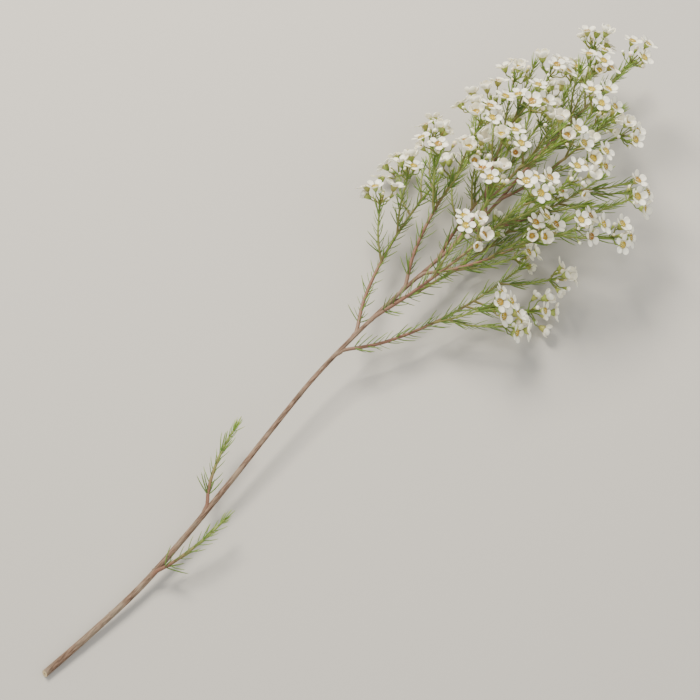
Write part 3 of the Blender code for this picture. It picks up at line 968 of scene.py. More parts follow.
# Thin fibrous bark of a woody cut stem: grey-brown strips over darker furrows, dull
def makeFibrousBark():
    look = barkLook
    material, tree, shader = newMaterial("fibrous_bark", IOR=1.45)
    place = addNode(tree, "ShaderNodeTexCoord").outputs["Object"]
    reach = addNode(tree, "ShaderNodeAttribute", attribute_name="reach").outputs["Fac"]
    across, along = (scaleOf(size) for size in look["fibreMm"])
    stretch = {"Vector": place, "Scale": (across, along, across)}
    stretched = addNode(tree, "ShaderNodeMapping", stretch).outputs[0]
    strands = {"Vector": stretched, "Scale": 1.0, "Detail": 5.0, "Distortion": 0.4}
    fibres = addNode(tree, "ShaderNodeTexNoise", strands).outputs["Fac"]
    size = scaleOf(look["patchMm"])
    patches = addNode(tree, "ShaderNodeTexNoise", {"Vector": place, "Scale": size}).outputs["Fac"]
    tone, shares = colourOf(look["furrow"]), []
    layers = ((fibres, "ridge", 1.0), (patches, "lichen", look["lichenShare"]), (reach, "young", 1.0))
    for source, over, full in layers:
        low, high = look[over + "Ends"]
        shares.append(addNode(tree, "ShaderNodeMapRange", {0: source, 1: low, 2: high, 4: full}).outputs[0])
        mix = {0: shares[-1], 6: tone, 7: colourOf(look[over])}
        tone = addNode(tree, "ShaderNodeMix", mix, data_type="RGBA").outputs[2]
    low, high = look["roughness"]
    relief = {"Height": shares[0], "Strength": 0.7, "Distance": look["relief"]}
    setInputs(tree, shader, {
        "Base Color": tone,
        "Roughness": addNode(tree, "ShaderNodeMapRange", {0: patches, 3: low, 4: high}).outputs[0],
        "Normal": addNode(tree, "ShaderNodeBump", relief).outputs[0],
    })
    return material


cutLook = {
    "pale": "#DCC79C",
    "ring": "#B99A66",
    "pith": "#8A6A42",
    "ringMm": 0.45,
    "ringFrom": 0.2,  # of the height of the wave that draws the rings
    "ringShare": 0.7,
    "pithRadii": (0.0005, 0.00065),  # where it fades
    "roughness": 0.62,
}


# Freshly cut wood: pale, with fine growth rings round a small brown pith
def makeCutWood(centre):
    look = cutLook
    material, tree, shader = newMaterial("freshly_cut_wood", IOR=1.45, Roughness=look["roughness"])
    place = addNode(tree, "ShaderNodeTexCoord").outputs["Object"]
    ends = {0: place, 1: centre}
    away = addNode(tree, "ShaderNodeVectorMath", ends, operation="DISTANCE").outputs["Value"]
    pace = 6.283 * scaleOf(look["ringMm"])  # one turn of the wave to a ring
    turns = addNode(tree, "ShaderNodeMath", {0: away, 1: pace}, operation="MULTIPLY").outputs[0]
    wave = addNode(tree, "ShaderNodeMath", {0: turns}, operation="SINE").outputs[0]
    ends = {0: wave, 1: look["ringFrom"], 2: 1.0, 4: look["ringShare"]}
    ring = addNode(tree, "ShaderNodeMapRange", ends).outputs[0]
    low, high = look["pithRadii"]
    pith = addNode(tree, "ShaderNodeMapRange", {0: away, 1: low, 2: high, 3: 1.0, 4: 0.0}).outputs[0]
    wood = colourOf(look["pale"])
    for share, over in ((ring, "ring"), (pith, "pith")):
        mix = {0: share, 6: wood, 7: colourOf(look[over])}
        wood = addNode(tree, "ShaderNodeMix", mix, data_type="RGBA").outputs[2]
    setInputs(tree, shader, {"Base Color": wood})
    return material


# Object for the growth trees to repeat. Along runs from 0 at the root of the shape to 1 at its
# tip, and across from -1 to 1 over it.
def repeatedShape(name, points, faces, along, across=None):
    mesh = bpy.data.meshes.new(name)
    mesh.from_pydata(points, [], faces)
    mesh.shade_smooth()
    mesh.attributes.new("along", "FLOAT", "POINT").data.foreach_set("value", along)
    if across:
        mesh.attributes.new("across", "FLOAT", "POINT").data.foreach_set("value", across)
    shape = bpy.data.objects.new(name, mesh)
    bpy.context.scene.collection.objects.link(shape)
    return shape


# Faces between rings of points that go round +Z upwards, closed at both ends
def closedRings(counts):
    faces, start = [], 0
    for n in range(len(counts) - 1):
        a, b = counts[n], counts[n + 1]
        for k in range(max(a, b)):
            following = (k + 1) % max(a, b)
            if a == 1:
                faces.append((start, start + 1 + following, start + 1 + k))
            elif b == 1:
                faces.append((start + k, start + following, start + a))
            else:
                faces.append((start + k, start + following, start + a + following, start + a + k))
        start += a
    for first, count, turn in ((0, counts[0], -1), (start, counts[-1], 1)):
        if count > 2:
            faces.append(tuple(range(first, first + count))[::turn])
    return faces


# Turned shape from pairs of radius and height; ripple gives the radius factor at an angle and share
def turnedShape(name, profile, sides, ripple=lambda angle, share: 1):
    points, counts, along = [], [], []
    total = profile[-1][1] - profile[0][1]
    for n, (radius, height) in enumerate(profile):
        share = n / (len(profile) - 1)
        count = sides if radius else 1
        for k in range(count):
            angle = 2 * math.pi * k / count
            reach = radius * ripple(angle, share)
            points.append((reach * math.cos(angle), reach * math.sin(angle), height))
            along.append((height - profile[0][1]) / total if total else share)
        counts.append(count)
    return repeatedShape(name, points, closedRings(counts), along)


petalShape = {
    "clawWidth": 0.21,  # half of it, in petal lengths, as the sizes below
    "width": 0.50,
    "widest": 0.53,
    "thickness": 0.055,
    "across": (-1, -0.72, -0.36, 0, 0.36, 0.72, 1),
    "clawStations": (0, 0.14, 0.35),
    "tipTurns": (0, 26, 48, 68, 83),  # degrees round the rounded end
    "curlFrom": 0.55,
    "curlGain": 4,
    "waves": (4.2, 5),  # radians across and along the petal
    "tipThinner": 0.5,
    "forms": {  # spoon, fold, curl and wave of each
        "flat_petal": (0.06, 0.08, -0.05, 0.012),
        "spoon_petal": (0.10, 0.18, 0.05, 0.008),
        "wavy_petal": (0.07, 0.10, -0.02, 0.030),
        "curled_petal": (0.12, 0.22, 0.18, 0.006),
    },
}


# One petal, its claw at the origin, its length along +Y and its upper side towards +Z
def makePetal(name, spoon, fold, curl, wave):
    shape = petalShape
    outline = []
    for u in shape["clawStations"]:
        swell = math.sin(math.pi / 2 * u / shape["widest"])
        outline.append((u, shape["clawWidth"] + (shape["width"] - shape["clawWidth"]) * swell))
    for turn in shape["tipTurns"]:
        u = shape["widest"] + (1 - shape["widest"]) * math.sin(math.radians(turn))
        outline.append((u, shape["width"] * math.cos(math.radians(turn))))
    points, along, across, upper, lower = [], [], [], [], []
    for n, (u, half) in enumerate(outline):
        upper.append([])
        lower.append([])
        for k, v in enumerate(shape["across"]):
            height = -spoon * math.sin(math.pi * u) * (1 - v * v) + fold * half * v * v
            curled = curl * max(0, u - shape["curlFrom"]) ** 2 * shape["curlGain"]
            height += curled + wave * math.sin(shape["waves"][0] * v + shape["waves"][1] * u) * u
            atEdge = n in (0, len(outline) - 1) or k in (0, len(shape["across"]) - 1)
            upper[n].append(len(points))
            points.append((v * half, u, height))
            along.append(u)
            across.append(v)
            if atEdge:
                lower[n].append(upper[n][-1])
                continue
            lower[n].append(len(points))
            points.append((v * half, u, height - shape["thickness"] * (1 - shape["tipThinner"] * u)))
            along.append(u)
            across.append(v)
    faces = []
    for n in range(len(outline) - 1):
        for k in range(len(shape["across"]) - 1):
            faces.append((upper[n][k], upper[n][k + 1], upper[n + 1][k + 1], upper[n + 1][k]))
            faces.append((lower[n][k], lower[n + 1][k], lower[n + 1][k + 1], lower[n][k + 1]))
    return repeatedShape(name, points, faces, along, across)


cupShape = {
    "bloomRadius": 0.0085,  # of the bloom that the cup, disc and stamens are drawn for
    "rimShare": 0.34,  # of the bloom's radius
    "closure": 0.55,  # height at which the cup is closed, under the dish
    "profile": ((0.22, 0.0), (0.44, 0.13), (0.70, 0.42), (0.92, 0.78), (1.05, 0.96), (0.98, 1.04)),
    "sides": 15,
    "budSides": 10,
    "budProfile": (  # shares of the stalk's radius and of the seat's, and height
        (1, 0, 0),
        (1, 0.35, 0.25),
        (0, 0.85, 0.65),
        (0, 1, 0.95),
        (0, 0.9, 1.05),
        (0, 0, 1),
    ),
    "ribs": 5,
    "ribDepth": 0.04,
}


# Ribbed green cup, from its stalk up to the rim that holds the petals
def makeCup():
    shape = cupShape
    rim, height = shape["rimShare"] * shape["bloomRadius"], bloomRule["cupLength"]
    profile = [(r * rim, h * height) for r, h in shape["profile"]]
    profile.append((0, shape["closure"] * height))

    def ribbed(angle, share):
        return 1 + shape["ribDepth"] * math.cos(shape["ribs"] * angle) * math.sin(math.pi * share)

    return turnedShape("cup", profile, shape["sides"], ribbed)


dishShape = {
    "sides": 15,
    "profile": (  # shares of the rim's radius, and depths in metres
        (0, -0.0015),
        (0.97, -0.0003),
        (0.99, 0.0002),
        (0.82, -0.0001),
        (0.55, -0.0006),
        (0.17, -0.0008),
        (0.11, -0.0005),
        (0, -0.0004),
    ),
}


# Nectar dish inside the petals, with the knob that the style stands on
def makeDisc():
    rim = cupShape["rimShare"] * cupShape["bloomRadius"]
    profile = [(share * rim, height) for share, height in dishShape["profile"]]
    dish = turnedShape("disc", profile, dishShape["sides"])
    across = [math.hypot(p.co.x, p.co.y) / rim for p in dish.data.vertices]
    dish.data.attributes["along"].data.foreach_set("value", across)
    return dish


stamenShape = {
    "count": 10,
    "ring": 0.98,  # of the rim's radius
    "length": 0.0013,
    "lean": 26,  # inwards, in degrees
    "leans": (0.8, 1.25),  # of every other stamen
    "radius": 0.00016,
    "taper": ((0, 1.4), (0.72, 0.8)),  # share of the thread, and its radius there
    "knobAt": 0.84,
    "anther": 0.00024,
    "styleLength": 0.0019,
    "styleRadius": 0.00016,
    "styleSunk": 0.0006,
    "stigma": 0.00026,
}


# Rings of a thread with a knob on its end, bent over towards the middle
def threadRings(foot, inward, length, lean, radius, knob):
    rings = []
    stations = [(share, radius * factor) for share, factor in stamenShape["taper"]]
    for share, reach in stations + [(stamenShape["knobAt"], knob), (1, 0)]:
        tilt = math.radians(lean * share)
        centre = foot + (inward * math.sin(tilt) + up * math.cos(tilt)) * length * share
        ring = ringPoints(centre, up, Vector((1, 0, 0)), reach, evenAngles(3)) if reach else [centre]
        rings.append((share, ring))
    return rings


# Ten bowed stamens and the style of one bloom
def makeStamens():
    shape = stamenShape
    rim = cupShape["rimShare"] * cupShape["bloomRadius"] * shape["ring"]
    foot, inward = Vector((0, 0, -shape["styleSunk"])), Vector()
    threads = [threadRings(foot, inward, shape["styleLength"], 0, shape["styleRadius"], shape["stigma"])]
    for k in range(shape["count"]):
        angle = 2 * math.pi * (k + 0.5) / shape["count"]
        outward = Vector((math.cos(angle), math.sin(angle), 0))
        foot, lean = outward * rim, shape["lean"] * shape["leans"][k % 2]
        threads.append(threadRings(foot, -outward, shape["length"], lean, shape["radius"], shape["anther"]))
    points, faces, along = [], [], []
    for rings in threads:
        start = len(points)
        for share, ring in rings:
            points += ring
            along += [share] * len(ring)
        counts = [len(ring) for _, ring in rings]
        faces += [tuple(start + n for n in face) for face in closedRings(counts)]
    return repeatedShape("stamens", points, faces, along)


budShape = {
    "sides": 15,
    "rings": 6,
    "foot": (0.9, -0.25),  # of the waist, and in bud radii under the seat
    "firstRing": 0.16,  # of the half turn from the bottom of the ball to its top
    "laps": 5,
    "grooves": 0.06,
    "twist": 1.1,
}


# Closed bud of radius 1 on its seat at the origin, its five petals lapped in a slow spiral
def makeBud():
    shape = budShape
    top = budRule["rises"][1]
    profile = [(budRule["waist"] * shape["foot"][0], shape["foot"][1])]
    first = shape["firstRing"]
    for n in range(shape["rings"]):
        turn = math.pi * (first + (1 - first) * n / (shape["rings"] - 1))
        profile.append((math.sin(turn) if n < shape["rings"] - 1 else 0, (1 - math.cos(turn)) / 2 * top))

    def lapped(angle, share):
        turn = (angle * shape["laps"] / 2 + shape["twist"] * share * math.pi) % math.pi
        return 1 - shape["grooves"] * (1 - math.sin(turn)) * math.sin(math.pi * share)

    return turnedShape("bud", profile, shape["sides"], lapped)


# Cup of a bud, from its stalk out to the seat of the bud
def makeBudCup():
    shape = cupShape
    height = bloomRule["cupLength"] * budRule["cupShare"]
    stalk = clusterRule["stalkRadius"]
    seat = budRule["radii"][1] * budRule["waist"]
    profile = [(stalk * ofStalk + seat * ofSeat, height * h) for ofStalk, ofSeat, h in shape["budProfile"]]
    return turnedShape("bud_cup", profile, shape["budSides"])


needleShape = {
    "radius": 0.036,  # in needle lengths
    "stations": ((0, 0.7), (0.12, 1.0), (0.4, 1.05), (0.7, 0.85), (0.9, 0.55), (1, 0)),  # factor there
    "flatness": 0.75,
    "bows": {"straight_needle": 0.02, "bowed_needle": 0.05},
    "hook": 0.012,
    "hookFrom": 0.85,
    "hookOver": 0.15,
}


# Needle leaf of length 1 along +Y, its upper side towards +Z, bowed and hooked at its tip
def makeNeedle(name, bow):
    shape = needleShape
    points, along, counts = [], [], []
    for share, factor in shape["stations"]:
        reach = shape["radius"] * factor
        hooked = shape["hook"] * max(0, share - shape["hookFrom"]) / shape["hookOver"]
        height = -bow * math.sin(math.pi * share) + hooked
        sides = [(1, 0), (0, 1), (-1, 0), (0, -1)] if reach else [(0, 0)]
        points += [(x * reach, share, height + z * reach * shape["flatness"]) for x, z in sides]
        along += [share] * len(sides)
        counts.append(len(sides))
    faces = [face[::-1] for face in closedRings(counts)]
    return repeatedShape(name, points, faces, along)


scarShape = {"sides": 9, "profile": ((1.0, -0.5), (1.0, 0.1), (0.72, 0.42), (0.3, 0.34), (0, 0.26))}


# Leaf scar on the bark: a low boss of radius 1, dished in the middle
def makeScar():
    return turnedShape("leaf_scar", scarShape["profile"], scarShape["sides"])


# Geometry nodes that turn a skeleton into a piece: its edges become shoots, and its loose points
# each take the shape of their kind
def growthTree(name, kinds):
    tree = bpy.data.node_groups.new(name, "GeometryNodeTree")
    tree.is_modifier = True
    face = tree.interface
    face.new_socket("Skeleton", in_out="INPUT", socket_type="NodeSocketGeometry")
    for label in ("Step", "Flare", "Flare length", "Relief", "Relief size"):
        face.new_socket(label, in_out="INPUT", socket_type="NodeSocketFloat")
    for label in ("Sides", "Seed"):
        face.new_socket(label, in_out="INPUT", socket_type="NodeSocketInt")
    face.new_socket("Skin", in_out="INPUT", socket_type="NodeSocketMaterial")
    for kind in kinds:
        face.new_socket(f"{kind} shape", in_out="INPUT", socket_type="NodeSocketObject")
        face.new_socket(f"{kind} material", in_out="INPUT", socket_type="NodeSocketMaterial")
    face.new_socket("Piece", in_out="OUTPUT", socket_type="NodeSocketGeometry")
    given = addNode(tree, "NodeGroupInput").outputs

    marks = {"thickness": "FLOAT", "kind": "INT", "turn": "QUATERNION", "size": "FLOAT_VECTOR"}
    thickness, kindOf, turn, size = (
        addNode(tree, "GeometryNodeInputNamedAttribute", {"Name": mark}, data_type=form).outputs[0]
        for mark, form in marks.items()
    )
    lines = addNode(tree, "GeometryNodeMeshToCurve", {"Mesh": given["Skeleton"]}).outputs[0]
    bent = addNode(tree, "GeometryNodeCurveSplineType", {"Curve": lines}, spline_type="CATMULL_ROM")
    steps = {"Curve": bent.outputs[0], "Length": given["Step"]}
    lines = addNode(tree, "GeometryNodeResampleCurve", steps, mode="LENGTH").outputs[0]
    away = addNode(tree, "GeometryNodeSplineParameter").outputs["Length"]
    fading = {0: away, 2: given["Flare length"], 3: given["Flare"], 4: 0.0}
    fade = addNode(tree, "ShaderNodeMapRange", fading, interpolation_type="SMOOTHSTEP").outputs[0]
    wider = addNode(tree, "ShaderNodeMath", {0: fade, 1: 1.0}, operation="ADD").outputs[0]
    radius = addNode(tree, "ShaderNodeMath", {0: thickness, 1: wider}, operation="MULTIPLY").outputs[0]
    ring = {"Resolution": given["Sides"], "Radius": 1.0}
    profile = addNode(tree, "GeometryNodeCurvePrimitiveCircle", ring).outputs[0]
    swept = {"Curve": lines, "Profile Curve": profile, "Scale": radius, "Fill Caps": True}
    shoots = addNode(tree, "GeometryNodeCurveToMesh", swept).outputs[0]
    where = addNode(tree, "GeometryNodeInputPosition").outputs[0]
    grain = {"Vector": where, "W": given["Seed"], "Scale": given["Relief size"]}
    noise = addNode(tree, "ShaderNodeTexNoise", grain, noise_dimensions="4D").outputs["Fac"]
    lift = addNode(tree, "ShaderNodeMath", {0: noise, 1: 0.5}, operation="SUBTRACT").outputs[0]
    lift = addNode(tree, "ShaderNodeMath", {0: lift, 1: given["Relief"]}, operation="MULTIPLY").outputs[0]
    normal = addNode(tree, "GeometryNodeInputNormal").outputs[0]
    offset = addNode(tree, "ShaderNodeVectorMath", {0: normal, "Scale": lift}, operation="SCALE").outputs[0]
    shoots = addNode(tree, "GeometryNodeSetPosition", {"Geometry": shoots, "Offset": offset}).outputs[0]
    shoots = addNode(tree, "GeometryNodeSetShadeSmooth", {0: shoots}).outputs[0]
    joined = addNode(tree, "GeometryNodeJoinGeometry")
    skin = {"Geometry": shoots, "Material": given["Skin"]}
    tree.links.new(addNode(tree, "GeometryNodeSetMaterial", skin).outputs[0], joined.inputs[0])

    for number, kind in enumerate(kinds, 1):
        same = {2: kindOf, 3: number}
        mine = addNode(tree, "FunctionNodeCompare", same, data_type="INT", operation="EQUAL").outputs[0]
        source = {"Object": given[f"{kind} shape"]}
        shape = addNode(tree, "GeometryNodeObjectInfo", source).outputs["Geometry"]
        seat = {"Points": given["Skeleton"], "Selection": mine, "Rotation": turn, "Scale": size}
        placed = addNode(tree, "GeometryNodeInstanceOnPoints", {"Instance": shape, **seat}).outputs[0]
        real = addNode(tree, "GeometryNodeRealizeInstances", {0: placed}).outputs[0]
        skin = {"Geometry": real, "Material": given[f"{kind} material"]}
        tree.links.new(addNode(tree, "GeometryNodeSetMaterial", skin).outputs[0], joined.inputs[0])
    addNode(tree, "NodeGroupOutput", {0: joined.outputs[0]})
    return tree


# Skeleton of one piece: lines of points with a thickness, and loose points that take a shape
class Skeleton:
    def __init__(self, place):
        self.place, self.turn = place, place.to_3x3()
        self.points, self.edges = [], []
        self.marks = {"kind": [], "turn": [], "size": [], "shade": [], "thickness": [], "reach": []}

    def mark(self, point, kind=0, turn=None, size=(1, 1, 1), shade=0.5, thickness=0.0, reach=0.0):
        self.points.append(self.place @ point)
        for name, value in zip(self.marks, (kind, turn or Quaternion(), size, shade, thickness, reach)):
            self.marks[name].append(value)

    # Shoot along the points, its thickness and its reach changing evenly from end to end. Start is
    # the share of its thickness that its first point has.
    def line(self, path, radii, reaches, shade=0.5, start=1):
        stations = stationsOf(path)
        for point, station in zip(path, stations):
            share = station / stations[-1]
            if station:
                self.edges.append((len(self.points) - 1, len(self.points)))
            radius = between(radii, share) * (1 if station else start)
            self.mark(point, shade=shade, thickness=radius, reach=between(reaches, share))

    # Shape of that kind whose +Y runs along ahead and whose +Z is as near to above as it can be
    def shape(self, kind, point, ahead, above, size, shade):
        ahead = (self.turn @ ahead).normalized()
        side = ahead.cross(self.turn @ above).normalized()
        turn = Matrix((side, ahead, side.cross(ahead))).transposed().to_quaternion()
        self.mark(point, kind, turn, size, shade)

    def mesh(self, name):
        mesh = bpy.data.meshes.new(name)
        mesh.from_pydata(self.points, self.edges, [])
        forms = {"kind": "INT", "turn": "QUATERNION", "size": "FLOAT_VECTOR"}
        for mark, values in self.marks.items():
            form = forms.get(mark, "FLOAT")
            field = "vector" if form == "FLOAT_VECTOR" else "value"
            flat = values if form in ("INT", "FLOAT") else [part for value in values for part in value]
            mesh.attributes.new(mark, form, "POINT").data.foreach_set(field, flat)
        return mesh


# Runs the tree on the skeleton and keeps the result as a plain mesh
def grownPiece(name, skeleton, tree, values):
    piece = bpy.data.objects.new(name, skeleton.mesh(name))
    bpy.context.scene.collection.objects.link(piece)
    growing = piece.modifiers.new("Growth", "NODES")
    growing.node_group = tree
    for socket in tree.interface.items_tree:
        if socket.in_out == "INPUT" and socket.name in values:
            growing[socket.identifier] = values[socket.name]
    state = bpy.context.evaluated_depsgraph_get()
    grown = piece.evaluated_get(state)
    finished = bpy.data.meshes.new_from_object(grown, preserve_all_data_layers=True, depsgraph=state)
    piece.modifiers.clear()
    bare, piece.data = piece.data, finished
    bpy.data.meshes.remove(bare)
    finished.name = name
    if finished.materials[0] is None:  # the empty slot of the bare skeleton
        finished.materials.pop(index=0)
    for mark in ("kind", "turn", "size", "thickness"):
        if mark in finished.attributes:
            finished.attributes.remove(finished.attributes[mark])
    return piece


leafMore = {
    "seed": 5,
    "spacing": (0.0056, 0.0026),  # between opposite pairs, at the foot of a shoot and at its tip
    "lengths": (0.010, 0.017),
    "youngLengths": (0.006, 0.011),
    "angles": (40, 22),
    "nods": (-6, 6),  # of a leaf from its angle, and round the shoot
    "swings": (-12, 12),
    "paces": (0.85, 1.15),
    "first": 0.010,
    "firstAzimuth": 45,
    "fromWhorl": 0.0024,
    "tufts": ((0.0005, 11), (0.0025, 19), (0.0045, 27)),  # back from a shoot's end, angle of the leaves
    "tuft": 5,
    "tuftOpening": (0.6, 1.3),
}


# Adds a needle where it is clear of everything else
def tryNeedle(space, twig, point, ahead, angle, azimuth, length, share):
    direction = tilted(ahead, twig["side"], angle, azimuth)
    foot = point + direction * leafRule["foot"]
    footRing = ringPoints(foot, direction, ahead, leafRule["radius"], evenAngles(3))
    free = closedShape([footRing, [point + direction * length]])
    if space.isClear(free, twig["name"]):
        space.add(free, twig["name"])
        twig["needles"].append((point, direction, length, ahead, share))


# Fills the stretches between a twig's whorls with opposite pairs, each across the one before it
def growMoreNeedles(space, chance, twig):
    path, more = twig["path"], leafMore
    total = pathLength(path)
    whorls = [distance for distance, _ in twig["whorls"]]
    distance, azimuth = more["first"], more["firstAzimuth"]
    while distance < total - leafRule["last"]:
        share = distance / total
        azimuth += 90
        if all(abs(distance - whorl) > more["fromWhorl"] for whorl in whorls):
            point, ahead = pointAt(path, distance)
            for opposite in (0, 180):
                angle = between(more["angles"], share) + chance.uniform(*more["nods"])
                long, young = chance.uniform(*more["lengths"]), chance.uniform(*more["youngLengths"])
                turn = azimuth + opposite + chance.uniform(*more["swings"])
                tryNeedle(space, twig, point, ahead, angle, turn, between((long, young), share**2), share)
        distance += between(more["spacing"], share) * chance.uniform(*more["paces"])
    if "_twig_" not in twig["name"]:
        for number, (back, angle) in enumerate(more["tufts"]):
            point, ahead = pointAt(path, total - back)
            for k in range(more["tuft"]):
                turn = 360 * (k + number / len(more["tufts"])) / more["tuft"]
                length = chance.uniform(*more["youngLengths"])
                opening = chance.uniform(*more["tuftOpening"])
                tryNeedle(space, twig, point, ahead, angle * opening, turn, length, 1)


headMore = {
    "seed": 8,
    "tries": 14,
    "kinds": (  # to a cluster, where there is room: form, radii, stalks
        (56, (0.0058, 0.0068), (0.0075, 0.0125)),
        (None, (0.0017, 0.0023), (0.0055, 0.0105)),
        (None, (0.0011, 0.0019), (0.0045, 0.0100)),
        (None, (0.0011, 0.0019), (0.0045, 0.0100)),
        (None, (0.0009, 0.0015), (0.0040, 0.0080)),
        (None, (0.0009, 0.0015), (0.0040, 0.0080)),
    ),
    "tilts": (15, 80),
    "axisReach": (0.2, 0.9),
    "facing": (1.2, 0.5, 0.3),  # along the stalk, out of the crown, upwards
}


# Younger heads between those of a cluster, half-open or in bud, each clear of all that has grown
def growMoreHeads(space, chance, cluster):
    more, side = headMore, cluster["side"]
    for form, radii, stalks in more["kinds"]:
        for _ in range(more["tries"]):
            reach = clusterRule["axisLength"] * chance.uniform(*more["axisReach"])
            root = cluster["root"] + cluster["ahead"] * reach
            tilt, azimuth = chance.uniform(*more["tilts"]), chance.uniform(0, 360)
            direction = tilted(cluster["ahead"], side, tilt, azimuth)
            ways = zip((direction, outOfCrown(root).normalized(), up), more["facing"])
            facing = sum((way * share for way, share in ways), Vector()).normalized()
            length, radius = chance.uniform(*stalks), chance.uniform(*radii)
            foot = root + direction * clusterRule["stalkFoot"]
            footRing = ringPoints(foot, direction, side, clusterRule["stalkRadius"], evenAngles(4))
            if form is None:
                rings = budRings(root + direction * length, facing, side, radius)
            else:
                rings = bloomRings(root + direction * length, facing, side, radius, form)
            free = closedShape([footRing] + rings)
            if space.isClear(free, cluster["name"]):
                space.add(free, "heads")
                cluster["heads"].append((root, direction, length, facing, side, radius, form))
                break


bloomDetail = {
    "petalTurn": 4,  # degrees that a petal may be off its place
    "petalRise": 5,
    "petalRoll": 8,  # each petal lies over its neighbour on one side and under it on the other
    "petalRoot": 0.93,  # of the dish's radius
    "petalSunk": 0.0003,  # below the dish's rim
    "lengths": (0.96, 1.03),
    "widening": (0.96, 1.05),
    "widths": {10: 1.0, 14: 1.03, 30: 1.08, 56: 1.16},
    "forms": {  # by how far the petals rise
        10: ("flat_petal", "wavy_petal"),
        14: ("spoon_petal", "flat_petal"),
        30: ("spoon_petal", "wavy_petal"),
        56: ("curled_petal",),
    },
    "stalkRadii": (0.00062, 0.00042),
    "stalkBends": (0.4, 0.25),  # along it from its root, and back from its cup
    "stalkEnds": (0.0009, 0.0002),  # how far it runs on into the axis and into the cup
    "axisRadii": (0.00072, 0.00100),
    "axisFoot": 0.001,  # how far it runs on into the twig
}
flowerKinds = (*petalShape["forms"], "cup", "disc", "stamens", "bud", "bud_cup")
leafKinds = tuple(needleShape["bows"])
stemKinds = ("leaf_scar",)


# Open flower: its cup, dish and stamens, and five petals of the forms that go with its rise
def addBloom(skeleton, chance, foot, facing, side, radius, rise):
    detail = bloomDetail
    shade = chance.random()
    scale = radius / cupShape["bloomRadius"]
    side = (side - facing * side.dot(facing)).normalized()
    rim = foot + facing * (bloomRule["cupLength"] + bloomRule["thickness"] * 0.5)
    for kind, point in (("cup", foot), ("disc", rim), ("stamens", rim)):
        size = (scale, scale, 1) if kind == "cup" else (scale, scale, scale)
        skeleton.shape(flowerKinds.index(kind) + 1, point, side, facing, size, shade)
    disc = cupShape["rimShare"] * radius * detail["petalRoot"]
    for azimuth in evenAngles(5):
        azimuth += chance.uniform(-detail["petalTurn"], detail["petalTurn"])
        lift = math.radians(rise + chance.uniform(-detail["petalRise"], detail["petalRise"]))
        outward = turned(side, facing, azimuth)
        ahead = outward * math.cos(lift) + facing * math.sin(lift)
        above = turned(facing * math.cos(lift) - outward * math.sin(lift), ahead, detail["petalRoll"])
        kind = flowerKinds.index(chance.choice(detail["forms"][rise])) + 1
        length = (radius - disc) * chance.uniform(*detail["lengths"])
        wide = length * chance.uniform(*detail["widening"]) * detail["widths"][rise]
        root = rim + outward * disc - facing * detail["petalSunk"]
        skeleton.shape(kind, root, ahead, above, (wide, length, length), shade)


# Bud in its cup; the cup of a small one is shorter too
def addBud(skeleton, chance, foot, facing, side, radius):
    shade = chance.random()
    side = (side - facing * side.dot(facing)).normalized()
    scale, height = radius / budRule["radii"][1], min(1, radius / budRule["radii"][0])
    seat = foot + facing * bloomRule["cupLength"] * budRule["cupShare"] * height
    skeleton.shape(flowerKinds.index("bud_cup") + 1, foot, side, facing, (scale, scale, height), shade)
    skeleton.shape(flowerKinds.index("bud") + 1, seat, side, facing, (radius, radius, radius), shade)


# Skeleton of a flower cluster: its axis, its stalks and what each of them carries
def clusterSkeleton(cluster, place, chance):
    skeleton, detail = Skeleton(place), bloomDetail
    root, ahead = cluster["root"], cluster["ahead"]
    top = root + ahead * clusterRule["axisLength"]
    skeleton.line([root - ahead * detail["axisFoot"], (root + top) / 2, top], detail["axisRadii"], (0, 1))
    (early, late), (inside, beyond) = detail["stalkBends"], detail["stalkEnds"]
    for headRoot, direction, length, facing, side, size, form in cluster["heads"]:
        foot = headRoot + direction * length
        bends = [headRoot - direction * inside, headRoot + direction * length * early]
        bends += [foot - facing * length * late, foot + facing * beyond]
        skeleton.line(bends, detail["stalkRadii"], (0, 1), chance.random())
        if form is None:
            addBud(skeleton, chance, foot, facing, side, size)
        else:
            addBloom(skeleton, chance, foot, facing, side, size, form)
    return skeleton


shootDetail = {
    "ripening": {  # how green the skin of each kind is, at its foot and at its tip
        "leafy_spray": (-0.25, 0.85),
        "top_spray": (0.0, 0.9),
        "lower_shoot": (-0.25, 1.2),
        "twig": (0.45, 1.0),
    },
    "foot": ((0.0021, 0.0088), (0.0011, 0.0034)),  # its points, into the stem and back along it
    "start": 0.6,  # share of its thickness that a foot starts with, inside the stem
    "corky": -0.25,  # ripening there
    "intoTip": 0.0034,  # how far back the topmost shoot runs on into the stem
    "leafShades": (0.1, 0.65),  # of a needle at its shoot's foot, and how much lighter at the tip
    "leafSpread": (-0.15, 0.25),
}


# Skeleton of a spray: its twigs, and its needles on them
def spraySkeleton(spray, place, chance):
    skeleton, (dark, lighter) = Skeleton(place), shootDetail["leafShades"]
    for number, twig in enumerate(spray["twigs"]):
        kind = "twig" if number else spray["name"].rstrip("_0123456789")
        path, start, ripening = twig["path"], 1, shootDetail["ripening"][kind]
        if number == 0 and twig["cut"]:
            outward, along = twig["cut"], twig["side"].cross(twig["cut"])
            path = [path[0] - outward * depth - along * back for depth, back in shootDetail["foot"]] + path
            start, ripening = shootDetail["start"], (shootDetail["corky"], ripening[1])
        elif number == 0:
            path = [path[0] + (path[0] - path[1]).normalized() * shootDetail["intoTip"]] + path
        skeleton.line(path, twig["radii"], ripening, chance.random(), start)
        for point, direction, length, ahead, share in twig["needles"]:
            shade = dark + lighter * share + chance.uniform(*shootDetail["leafSpread"])
            shade = min(max(shade, 0), 1)
            size = (length, length, length)
            skeleton.shape(chance.choice((1, 2)), point, direction, ahead, size, shade)
    return skeleton


